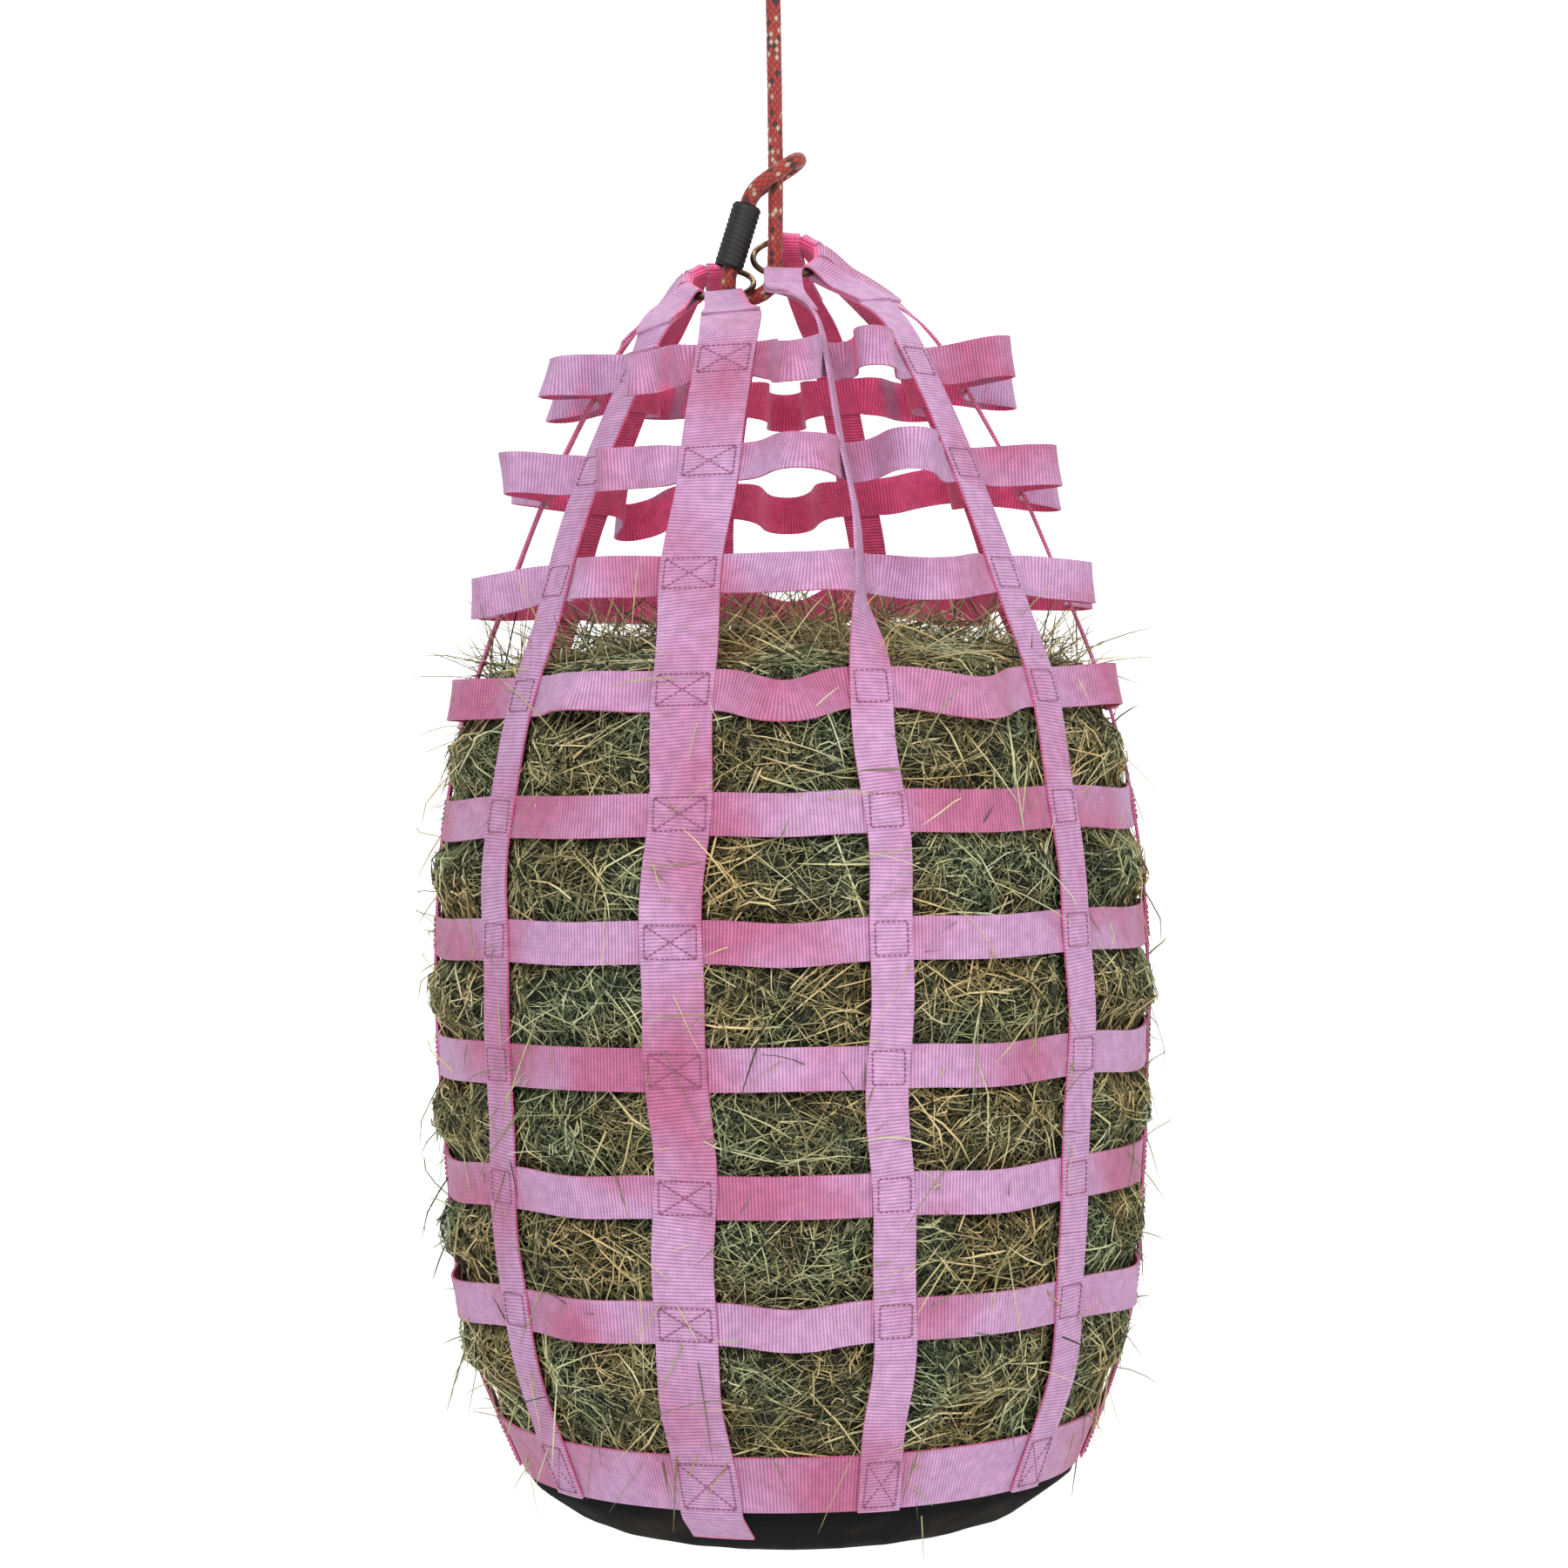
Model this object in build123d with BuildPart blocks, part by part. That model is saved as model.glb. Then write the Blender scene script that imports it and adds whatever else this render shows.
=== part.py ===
from build123d import *
import os
from math import cos, degrees, pi, radians, sin, sqrt, tan

# A haylage net of sewn webbing, filled with hay, hanging by its noose rope from a swivel snap hook.
# +Z is up, the front looks towards -Y, and the origin is the centre of the hook's bow, where it hangs.

# --- driving dimensions, in millimetres -------------------------------------------------------------
web_width = 25.4  # the narrow webbing
wide_web = 38.0  # the wide webbing of the closing strap and of the bottom band
web_thick = 1.6
lay_gap = 0.45  # air between one layer and the next
bag_top = -655.0  # the height on the bag's own scale that is counted from
strap_angles = [-52.0, -17.5, 14.5, 49.0, 86.0, 123.0, 160.0, 197.0, 234.0, 271.0]
wide_strap = 1  # the closing strap's place in the list
hoop_count = 9
row_pitch = 73.9  # from hoop to hoop along the bag's side
wide_tail = 28.0  # how far the closing strap runs on over the base
segment_length = 138.0  # a hoop's free length between two straps where the bag has drawn in

# The bag's side as radius and height above bag_top, from the band's lower edge to the neck
bag_outline = [
    (176, -428),
    (207, -345),
    (219, -242),
    (224, -130),
    (217, -20),
    (200, 55),
    (174, 124),
    (146, 192),
    (111, 258),
]

base_flat = 104.0  # radius of the base's flat middle
base_drop = 38.0  # how far the base sags under the band
base_shoulder = 0.72  # the share of the sag that is reached half way in
base_tuck = 9.0  # how far the base's edge is sewn up inside the band
base_play = 0.5  # more air between the base's edge and the band
base_thick = 1.44
hay_height = 100.0  # top of the hay's heap on the bag's scale
hay_shoulder = 28.0  # how much lower the heap is at its edge
hay_inset = 1.3  # from the hay to the middle of the hoops' webbing

ring_radius = 22.0  # to the middle of the wire
ring_wire = 4.0
right_ring_at = (6.0, 0.0, -319.0)
left_ring_at = (-38.0, 0.0, -334.9)
right_ring_tilt = 40.0  # front low, back high
left_ring_tilt = 33.0
ring_bearing = 3.6  # from the wire's middle to the inner face of a strap's fold
ring_web = 12.0  # width of a strap drawn together on its ring
front_web = 20.0  # width of the foremost strap on each ring
ring_slots = [-8.0, 52.0, 93.0, 134.0, 175.0]  # where a ring's straps sit, from the front outwards
right_straps = [2, 3, 4, 5, 6]  # the straps on each ring, in the order of the slots
left_straps = [1, 0, 9, 8, 7]
tab_length = 60.0  # the strap's end, folded over the ring and sewn down
tab_opening = 26.0  # the fold lies flat against its strap this far below the ring
widening = 1.6  # a strap has its full width again after 1 / widening of its free run
free_steps = 12
fold_steps = 8

rope_diameter = 10.0
rope_gap = 0.4
strand_play = 0.4  # between the two strands of an eye
sleeve_diameter = 19.0
sleeve_length = 42.0
sleeve_lean = 18.3
sleeve_foot = (-32.0, 0.0, -325.0)
noose_bore = 34.0  # depth of the bore that takes the rope's tail
tail_play = 2.0  # from the rope's tail to the end of that bore
neck_run = 8.0  # the eye's strands leave the sleeve straight for this far

rope_top = -142.0
eye_bar = -73.0  # height of the bar that the rope's upper eye goes round
eye_wire = 5.0
eye_radius = 13.0
stem_diameter = 6.0
stem_play = 0.3
barrel_diameter = 18.0
barrel_top = -28.0
barrel_length = 14.0
barrel_floor = 5.0
barrel_wall = 3.0
barrel_round = 1.2
bow_rod = 8.0
bow_radius = 15.0
nose_drop = 3.0
neck_radius = 9.0  # the bow's bend where it leaves the barrel
neck_rise = 12.0
neck_reach = 2.0
gate_rod = 6.0
gate_play = 0.35
pin_diameter = 3.0
pin_play = 0.15
gate_pivot = (12.0, 0.0, -24.0)
gate_end = 0.9  # how much shorter the gate is than the way to the nose
cheek_thick = 2.5
cheek_round = 3.2
cheek_root = 1.5  # how deep the cheeks stand in the barrel
pin_head = 0.6  # how far the pin stands out of each cheek

os.makedirs("parts", exist_ok=True)


def save(part, name):
    """Labels a finished piece and writes it."""
    part.label = name
    export_step(part, f"parts/{name}.step")


# --- the bag's shape ---------------------------------------------------------------------------------
with BuildLine(Plane.XZ) as bag_line:
    Spline([(r, z + bag_top) for r, z in bag_outline])
bag_side = bag_line.edges()[0]
bag_length = bag_side.length


def side_at(distance):
    """Radius, height and upward direction (radial, vertical) of the bag's side, at a distance along it."""
    point = bag_side.position_at(distance, position_mode=PositionMode.LENGTH)
    along = bag_side.tangent_at(distance, position_mode=PositionMode.LENGTH)
    return point.X, point.Z, Vector(along.X, 0, along.Z)


def around(angle):
    """The radial and the tangential direction at an angle from the front towards +X."""
    a = radians(angle)
    return Vector(sin(a), -cos(a), 0), Vector(cos(a), sin(a), 0)


def on_side(distance, angle, out=0.0):
    """A point on the bag's side, moved outwards, with the upward and outward directions there."""
    radius, height, slope = side_at(distance)
    radial, _ = around(angle)
    up = radial * slope.X + Vector(0, 0, slope.Z)
    outward = radial * slope.Z - Vector(0, 0, slope.X)
    return radial * radius + Vector(0, 0, height) + outward * out, up, outward


def webbing(sections):
    """A strip of webbing through (centre, direction along, direction across, width) sections."""
    with BuildPart() as strip:
        for centre, along, across, width in sections:
            with BuildSketch(Plane(origin=centre, x_dir=across, z_dir=along)):
                Rectangle(width, web_thick)
        loft(ruled=True)
    return strip.part


# --- hoops -------------------------------------------------------------------------------------------
row_places = [bag_length - row_pitch * row for row in range(hoop_count)]
hoop_steps = 14  # sections in each free stretch, enough for its sharpest bend
stretch_grain = 12  # short runs that are added up from one section to the next
seam_flat = 2.0  # a hoop stays flat this far past a strap's edge


def strap_width(index):
    return wide_web if index == wide_strap else web_width


def stretch_lean(half_turn, chord, length):
    """The extra lean that makes a stretch of this length span a shorter chord."""
    steps = 64
    places = [(i + 0.5) / steps for i in range(steps)]
    low, high = 0.0, 2.2
    for _ in range(40):
        lean = (low + high) / 2
        span = sum(cos(half_turn * (1 - 2 * p) + lean * sin(2 * pi * p)) for p in places) / steps
        if span * length > chord:
            low = lean
        else:
            high = lean
    return low


def hoop_sections(distance):
    """Sections of one hoop, which starts and ends under the closing strap."""
    radius, height, slope = side_at(distance)
    count = len(strap_angles)
    sections = []
    for number in range(count):
        one = (wide_strap + number) % count
        two = (one + 1) % count
        left, right = strap_angles[one], strap_angles[two]
        if right < left:
            right += 360
        half = radians(right - left) / 2
        flats = [strap_width(k) / 2 + seam_flat for k in (one, two)]
        left_out, left_run = around(left)
        right_out, right_run = around(right)
        low = Vector(0, 0, height)
        begin = left_out * radius + left_run * flats[0] + low
        end = right_out * radius - right_run * flats[1] + low
        if number == 0:
            sections.append((left_out * radius + left_run * seam_flat + low, left_run, left_out, 0))
        else:
            sections.append((left_out * radius - left_run * flats[0] + low, left_run, left_out, 0))
        chord = (end - begin).length
        forward = (end - begin).normalized()
        outward = forward.cross(Vector(0, 0, 1))
        length = max(segment_length * degrees(2 * half) / 36 - sum(flats), chord * half / sin(half) + 0.01)
        lean = stretch_lean(half, chord, length)
        grain = length / hoop_steps / stretch_grain
        place = begin
        for step in range(hoop_steps):
            phi = half * (1 - 2 * step / hoop_steps) + lean * sin(2 * pi * step / hoop_steps)
            away = sin(pi * step / hoop_steps) * min(1.0, lean)
            sections.append((place, forward * cos(phi) + outward * sin(phi), outward, away))
            for piece in range(stretch_grain):
                at = (step + (piece + 0.5) / stretch_grain) / hoop_steps
                phi = half * (1 - 2 * at) + lean * sin(2 * pi * at)
                place = place + (forward * cos(phi) + outward * sin(phi)) * grain
    out, run = around(strap_angles[wide_strap])
    sections.append((out * radius - run * (wide_web / 2 + seam_flat) + low, run, out, 0))
    sections.append((out * radius - run * seam_flat + low, run, out, 0))
    finished = []
    for place, along, out, away in sections:
        tilted = out * slope.X * (1 - away) + Vector(0, 0, slope.Z + (1 - slope.Z) * away)
        across = tilted - along * tilted.dot(along)
        finished.append((place, along, across.normalized(), web_width))
    return finished


for row, distance in enumerate(row_places):
    save(webbing(hoop_sections(distance)), f"hoop_{row + 1}")

# --- bottom band and base ----------------------------------------------------------------------------
band_low, band_low_z, band_slope = side_at(0)
band_high, band_high_z, _ = side_at(wide_web)
half_web = web_thick / 2

with BuildPart() as base_band:
    with BuildSketch(Plane.XZ):
        with BuildLine():
            Polyline(
                (band_low - half_web, band_low_z),
                (band_low + half_web, band_low_z),
                (band_high + half_web, band_high_z),
                (band_high - half_web, band_high_z),
                close=True,
            )
        make_face()
    revolve(axis=Axis.Z)
save(base_band.part, "base_band")

inside = half_web + lay_gap + base_play
seam_turn = 1.5  # the base turns up into the band this far under its edge
tuck_r, tuck_z, _ = side_at(base_tuck)
base_low = band_low_z - base_drop
seam_inset = 1.0
shoulder_r = (band_low + base_flat) / 2
shoulder_z = band_low_z - base_drop * base_shoulder
with BuildPart() as base_panel:
    with BuildSketch(Plane.XZ):
        with BuildLine():
            outer = [
                (tuck_r - inside, tuck_z),
                (band_low - inside - seam_inset, band_low_z - seam_turn),
                (shoulder_r, shoulder_z),
                (base_flat, base_low),
                (0, base_low),
            ]
            inner = [(max(r - base_thick, 0), z + base_thick) for r, z in outer]
            inner[0] = (tuck_r - inside - base_thick, tuck_z)
            Polyline(*outer, *reversed(inner), close=True)
        make_face()
    revolve(axis=Axis.Z)
save(base_panel.part, "base_panel")

# --- hay ---------------------------------------------------------------------------------------------
hay_top_z = bag_top + hay_height
hay_rows = 14
shoulder_distance = next(d for d in range(0, int(bag_length)) if side_at(d)[1] > hay_top_z - hay_shoulder)
side_points = []
for step in range(hay_rows + 1):
    point, _, _ = on_side(base_tuck + (shoulder_distance - base_tuck) * step / hay_rows, 90, -hay_inset)
    side_points.append((point.X, point.Z))
floor_gap = base_thick + lay_gap
heap_ease = 0.6  # the share of the edge's radius where the heap is nearly level
heap_fall = 8.0  # how much lower the heap is there than in its middle
with BuildPart() as hay_fill:
    with BuildSketch(Plane.XZ):
        with BuildLine():
            Polyline(
                (0, base_low + floor_gap),
                (base_flat - floor_gap, base_low + floor_gap),
                (shoulder_r - floor_gap, shoulder_z + floor_gap),
                (band_low - inside - floor_gap - seam_inset, band_low_z + seam_inset),
                (tuck_r - inside - floor_gap, tuck_z),
                (side_points[1][0], side_points[1][1]),
            )
            Spline(side_points[1:])
            edge_r, edge_z = side_points[-1]
            heap = [(edge_r, edge_z), (edge_r * heap_ease, hay_top_z - heap_fall), (0, hay_top_z)]
            Spline(heap, tangents=((-1, 0.1), (-1, 0)))
            Line((0, hay_top_z), (0, base_low + floor_gap))
        make_face()
    revolve(axis=Axis.Z)
save(hay_fill.part, "hay_fill")


# --- neck rings --------------------------------------------------------------------------------------
class NeckRing:
    """One of the two rings that the straps are folded over."""

    def __init__(self, name, centre, tilt, side):
        self.name, self.centre, self.side = name, Vector(*centre), side
        t = radians(tilt)
        self.right = Vector(1, 0, 0)
        self.back = Vector(0, cos(t), sin(t))
        self.normal = self.right.cross(self.back)

    def wire_at(self, slot):
        """The wire's middle and its direction at an angle from the front towards the ring's outer side."""
        a = radians(slot)
        out = self.right * (sin(a) * self.side) - self.back * cos(a)
        run = self.right * (cos(a) * self.side) + self.back * sin(a)
        return self.centre + out * ring_radius, run, out

    def build(self):
        plane = Plane(origin=self.centre, x_dir=self.right, z_dir=self.normal)
        with BuildPart(plane) as ring:
            Torus(ring_radius, ring_wire / 2)
        save(ring.part, self.name)


right_ring = NeckRing("right_ring", right_ring_at, right_ring_tilt, 1)
left_ring = NeckRing("left_ring", left_ring_at, left_ring_tilt, -1)
for ring in (right_ring, left_ring):
    ring.build()


# --- straps ------------------------------------------------------------------------------------------
def strap_sections(index):
    """Sections of one strap, from its foot up the bag, over its ring and down again as a sewn tab."""
    angle = strap_angles[index]
    wide = index == wide_strap
    width = strap_width(index)
    ring, order = (right_ring, right_straps) if index in right_straps else (left_ring, left_straps)
    slot = order.index(index)
    top_width = ring_web if slot else front_web
    out = web_thick + lay_gap
    _, across = around(angle)
    sections = []
    foot, up, outward = on_side(0, angle, out)
    radial, _ = around(angle)
    if wide:  # the tail that runs on under the base
        corner = foot - up * seam_turn
        under = Vector(0, 0, shoulder_z - band_low_z) + radial * (shoulder_r - band_low)
        under = under.normalized()
        sections.append((corner + under * wide_tail, under * -1, across, width))
        sections.append((corner, (up - under).normalized(), across, width))
    else:
        sections.append((foot, up, across, width))
    half_row = web_width / 2 + lay_gap
    sections.append(on_side(wide_web / 2, angle, out)[:2] + (across, width))
    sections.append(on_side(wide_web, angle, out)[:2] + (across, width))
    lowest = row_places[-1] - half_row
    extra = int((lowest - wide_web) / row_pitch)  # more sections where the run up to the lowest hoop is long
    for number in range(extra):
        distance = wide_web + (lowest - wide_web) * (number + 1) / (extra + 1)
        sections.append(on_side(distance, angle, out)[:2] + (across, width))
    for distance in reversed(row_places):
        middle, up, outward = on_side(distance, angle, out)
        for shift in (-half_row, 0, half_row):
            sections.append((middle + up * shift, up, across, width))
        if distance < row_places[0] - 1:
            sections.append(on_side(distance + row_pitch / 2, angle, out)[:2] + (across, width))
    point = middle + up * half_row

    # From the first hoop to the ring the strap runs free
    wire, run, ring_out = ring.wire_at(ring_slots[slot])
    sag = ring_radius - sqrt(ring_radius**2 - top_width**2 / 4)
    wire = wire - ring_out * (sag / 2)
    if run.dot(across) < 0:
        run = run * -1
    down = point - wire
    down = (down - run * down.dot(run)).normalized()
    outside = run.cross(down) * -1
    if outside.dot(outward) < 0:
        outside = outside * -1
    bearing = ring_bearing + half_web
    start = wire - outside * bearing
    reach = (point - start).length
    free = []
    for step in range(free_steps + 1):
        s = step / free_steps
        h0, h1 = 2 * s**3 - 3 * s**2 + 1, s**3 - 2 * s**2 + s
        h2, h3 = -2 * s**3 + 3 * s**2, s**3 - s**2
        place = start * h0 + down * (h1 * reach) + point * h2 - up * (h3 * reach)
        d0, d1 = 6 * s**2 - 6 * s, 3 * s**2 - 4 * s + 1
        d2, d3 = -6 * s**2 + 6 * s, 3 * s**2 - 2 * s
        along = (start * d0 + down * (d1 * reach) + point * d2 - up * (d3 * reach)).normalized()
        ease = s * s * (3 - 2 * s)
        side = run * (1 - ease) + across * ease
        side = (side - along * side.dot(along)).normalized()
        free.append((place, along, side, top_width + (width - top_width) * min(1.0, s * widening)))
    for place, along, side, wide_here in reversed(free[:-1]):
        sections.append((place, along * -1, side, wide_here))

    # The fold over the wire
    for step in range(1, fold_steps):
        a = pi * step / fold_steps
        place = wire - outside * (bearing * cos(a)) - down * (bearing * sin(a))
        along = outside * sin(a) - down * cos(a)
        sections.append((place, along, run, top_width))

    # The tab, close against the strap's outside
    gone, before = 0.0, None
    for place, along, side, wide_here in free:
        outward = along.cross(side)
        if outward.dot(outside) < 0:
            outward = outward * -1
        gone += (place - before).length if before else 0.0
        before = place
        spread = max(0.0, 1 - gone / tab_opening)
        offset = out + (2 * bearing - out) * spread * spread * (3 - 2 * spread)
        if gone <= tab_length:
            sections.append((place + outward * offset, along, side, wide_here))
    return sections


strap_names = [f"strap_{number + 1:02d}" for number in range(len(strap_angles))]
for index, name in enumerate(strap_names):
    save(webbing(strap_sections(index)), name)


# --- rope --------------------------------------------------------------------------------------------
def cord(points, radii, name):
    """A round rope along straight runs joined by tangent arcs, which prints its bends."""
    with BuildLine() as route:
        FilletPolyline(*points, radius=radii)
    path = route.wires()[0]
    with BuildPart() as rope:
        with BuildSketch(Plane(origin=path @ 0, z_dir=path % 0)):
            Circle(rope_diameter / 2)
        sweep(path=path)
    share = rope.part.volume / (pi * rope_diameter**2 / 4 * path.length)
    print(f"{name}: {path.length:.1f} mm, radii {[round(r, 1) for r in radii]}, volume {share:.4f}")
    save(rope.part, name)


def bends(points):
    """The largest arc at each corner: 0.45 of the shorter run over the tangent of half the turn."""
    vectors = [Vector(*p) for p in points]
    radii = []
    for a, b, c in zip(vectors, vectors[1:], vectors[2:]):
        turn = radians((b - a).get_angle(c - b))
        radii.append(0.45 * min((b - a).length, (c - b).length) / tan(turn / 2))
    return radii


lean = radians(sleeve_lean)
noose_up = Vector(sin(lean), 0, cos(lean))
noose_foot = Vector(*sleeve_foot)
noose_top = noose_foot + noose_up * sleeve_length
noose_neck = noose_top + noose_up * neck_run
tail_end = noose_foot + noose_up * (noose_bore - tail_play)

main_route = [
    (0, 0, rope_top),
    (0, 0, -329.0),
    (-7.5, 0, -341.5),
    (-23.5, 0, -346.5),
    tuple(noose_foot - noose_up * 14.5),
    tuple(tail_end),
]
cord(main_route, bends(main_route), "rope_main")

eye_side = rope_diameter + rope_gap + strand_play / 2
strand = rope_diameter / 2 + strand_play / 2
eye_route = [
    (noose_top.X, strand, noose_top.Z),
    tuple(noose_neck + Vector(0, strand, 0)),
    (-6.5, eye_side, -270.0),
    (14.5, eye_side, -257.0),
    (14.5, -eye_side, -257.0),
    (-6.5, -eye_side, -270.0),
    tuple(noose_neck - Vector(0, strand, 0)),
    (noose_top.X, -strand, noose_top.Z),
]
cord(eye_route, bends(eye_route), "noose_eye")

with BuildPart(Plane(origin=noose_foot, x_dir=(0, 1, 0), z_dir=noose_up)) as noose_sleeve:
    Cylinder(sleeve_diameter / 2, sleeve_length, align=(Align.CENTER, Align.CENTER, Align.MIN))
    Cylinder(
        rope_diameter / 2 + rope_gap,
        noose_bore,
        align=(Align.CENTER, Align.CENTER, Align.MIN),
        mode=Mode.SUBTRACT,
    )
save(noose_sleeve.part, "noose_sleeve")

with BuildPart(Plane.XY.offset(rope_top)) as upper_sleeve:
    Cylinder(sleeve_diameter / 2, sleeve_length, align=(Align.CENTER, Align.CENTER, Align.MIN))
save(upper_sleeve.part, "upper_sleeve")

upper_turn = eye_wire / 2 + rope_gap + rope_diameter / 2
arc_play = 0.05  # keeps two arcs from meeting at one point
sleeve_head = rope_top + sleeve_length
upper_run = 5.0  # the upper eye's strands run straight out of their sleeve for this far
upper_spread = 13.0  # and are as far apart as they get here
upper_route = [
    (-strand, 0, sleeve_head),
    (-strand, 0, sleeve_head + upper_run),
    (-upper_turn, 0, sleeve_head + upper_spread),
    (-upper_turn, 0, eye_bar + upper_turn),
    (upper_turn, 0, eye_bar + upper_turn),
    (upper_turn, 0, sleeve_head + upper_spread),
    (strand, 0, sleeve_head + upper_run),
    (strand, 0, sleeve_head),
]
upper_radii = bends(upper_route)
upper_radii[2] = upper_radii[3] = upper_turn - arc_play
cord(upper_route, upper_radii, "upper_eye")

# --- swivel snap hook --------------------------------------------------------------------------------
eye_middle = eye_bar + eye_radius
eye_top = eye_middle + eye_radius
barrel_low = barrel_top - barrel_length
cavity = barrel_length - barrel_floor - barrel_wall
head_diameter = barrel_diameter - 2 * barrel_wall - 2 * stem_play
cut_over = 1.0  # a cut or a joining piece runs on this far
with BuildPart() as swivel_eye:
    with Locations(Location((0, 0, eye_middle), (0, 90, 0))):
        Torus(eye_radius, eye_wire / 2)
    with BuildSketch(Plane.XY.offset(eye_top)):
        Circle(stem_diameter / 2)
    extrude(amount=barrel_low + barrel_floor + cut_over - eye_top)
    with BuildSketch(Plane.XY.offset(barrel_low + barrel_floor + stem_play)):
        Circle(head_diameter / 2)
    extrude(amount=cavity - 2 * stem_play)
save(swivel_eye.part, "swivel_eye")

spine = -bow_radius
crown = bow_radius - 0.5  # the crown's two bends stop just short of each other
with BuildPart() as hook_body:
    with BuildSketch(Plane.XY.offset(barrel_low)):
        Circle(barrel_diameter / 2)
    extrude(amount=barrel_length)
    fillet(hook_body.edges().filter_by(GeomType.CIRCLE), barrel_round)
    with BuildLine(Plane.XZ) as bow:
        FilletPolyline(
            (-neck_reach, barrel_top - neck_reach),
            (spine, barrel_top + neck_rise),
            (spine, bow_radius),
            (-spine, bow_radius),
            (-spine, -nose_drop),
            radius=[neck_radius, crown, crown],
        )
    bow_wire = bow.wires()[0]
    with BuildSketch(Plane(origin=bow_wire @ 0, z_dir=bow_wire % 0)):
        Circle(bow_rod / 2)
    sweep(path=bow_wire)
    with BuildSketch(Plane.XY.offset(barrel_low)):
        Circle(stem_diameter / 2 + stem_play)
    extrude(amount=barrel_floor + cut_over, mode=Mode.SUBTRACT)
    with BuildSketch(Plane.XY.offset(barrel_low + barrel_floor)):
        Circle(head_diameter / 2 + stem_play)
    extrude(amount=cavity, mode=Mode.SUBTRACT)
    pivot = Vector(*gate_pivot)
    for side in (1, -1):  # two cheeks that hold the gate's pin
        cheek_middle = gate_rod / 2 + gate_play + cheek_thick / 2
        with BuildSketch(Plane.XZ.offset(side * cheek_middle + cheek_thick / 2)):
            with BuildLine():
                Polyline(
                    (neck_reach, barrel_top - cheek_root),
                    (barrel_diameter / 2 - 0.4, barrel_top - cheek_root),
                    (pivot.X + cheek_round + 0.8, pivot.Z - cut_over),
                    (pivot.X + cheek_round, pivot.Z + cheek_round + 0.2),
                    (pivot.X - cheek_round, pivot.Z + cheek_round + 0.2),
                    (neck_reach, barrel_top + neck_rise / 3),
                    close=True,
                )
            make_face()
        extrude(amount=-cheek_thick)
    with BuildSketch(Plane.XZ.offset(barrel_diameter / 2)):
        with Locations((pivot.X, pivot.Z)):
            Circle(pin_diameter / 2 + pin_play)
    extrude(amount=-barrel_diameter, mode=Mode.SUBTRACT)
save(hook_body.part, "hook_body")

gate_top = Vector(-spine, 0, -nose_drop - gate_play)
gate_line = gate_top - pivot
with BuildPart() as hook_gate:
    with BuildSketch(Plane(origin=pivot, z_dir=gate_line)):
        Circle(gate_rod / 2)
    extrude(amount=gate_line.length - gate_end)
    with BuildSketch(Plane.XZ.offset(-gate_rod / 2)):
        with Locations((pivot.X, pivot.Z)):
            Circle(gate_rod / 2)
    extrude(amount=gate_rod)
    with BuildSketch(Plane.XZ.offset(barrel_diameter / 2)):
        with Locations((pivot.X, pivot.Z)):
            Circle(pin_diameter / 2 + pin_play)
    extrude(amount=-barrel_diameter, mode=Mode.SUBTRACT)
save(hook_gate.part, "hook_gate")

pin_half = gate_rod / 2 + gate_play + cheek_thick + pin_head
with BuildPart() as gate_pin:
    with BuildSketch(Plane.XZ.offset(-pin_half)):
        with Locations((pivot.X, pivot.Z)):
            Circle(pin_diameter / 2)
    extrude(amount=2 * pin_half)
save(gate_pin.part, "gate_pin")
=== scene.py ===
"""A webbing hay net, filled with hay, hanging by its noose rope from a swivel snap hook."""

import logging
import math
from dataclasses import dataclass, field
from enum import Enum

import bmesh
import bpy
import numpy as np
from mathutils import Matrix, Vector


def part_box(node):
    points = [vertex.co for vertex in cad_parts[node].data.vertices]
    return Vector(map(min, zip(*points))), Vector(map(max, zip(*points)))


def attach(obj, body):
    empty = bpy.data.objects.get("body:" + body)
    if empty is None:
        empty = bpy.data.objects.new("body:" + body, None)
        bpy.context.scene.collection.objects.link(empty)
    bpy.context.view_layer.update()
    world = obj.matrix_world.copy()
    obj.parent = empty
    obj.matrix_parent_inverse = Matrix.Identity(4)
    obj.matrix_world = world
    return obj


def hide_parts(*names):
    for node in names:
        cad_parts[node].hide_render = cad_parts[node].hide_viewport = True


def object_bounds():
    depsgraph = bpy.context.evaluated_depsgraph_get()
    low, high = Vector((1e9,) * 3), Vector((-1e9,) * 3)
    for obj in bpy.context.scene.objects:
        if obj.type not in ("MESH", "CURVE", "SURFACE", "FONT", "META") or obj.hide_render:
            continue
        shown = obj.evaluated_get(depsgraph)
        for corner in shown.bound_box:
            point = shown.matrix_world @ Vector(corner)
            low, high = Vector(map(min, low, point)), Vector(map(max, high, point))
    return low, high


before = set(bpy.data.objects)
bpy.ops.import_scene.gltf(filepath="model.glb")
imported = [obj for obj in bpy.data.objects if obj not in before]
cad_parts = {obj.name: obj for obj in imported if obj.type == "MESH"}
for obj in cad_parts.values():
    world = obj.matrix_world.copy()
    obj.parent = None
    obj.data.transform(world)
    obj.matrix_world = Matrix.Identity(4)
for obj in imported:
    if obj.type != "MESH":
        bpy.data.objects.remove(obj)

LOG = logging.getLogger("hay_net")
CAD_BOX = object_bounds()
MM = 0.001
NET = "net"
Array = np.ndarray
UP = np.array([0.0, 0.0, 1.0])


# --- small helpers ----------------------------------------------------------------------------------
def unit(vectors: Array) -> Array:
    """Scales vectors to length one."""
    return vectors / np.maximum(np.linalg.norm(vectors, axis=-1, keepdims=True), 1e-12)


def dot(a: Array, b: Array) -> Array:
    """Row by row dot product that keeps its last axis."""
    return (a * b).sum(-1, keepdims=True)


def smooth(t: Array) -> Array:
    """The smooth step of a share that is clipped to 0..1."""
    t = np.clip(t, 0, 1)
    return t * t * (3 - 2 * t)


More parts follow.
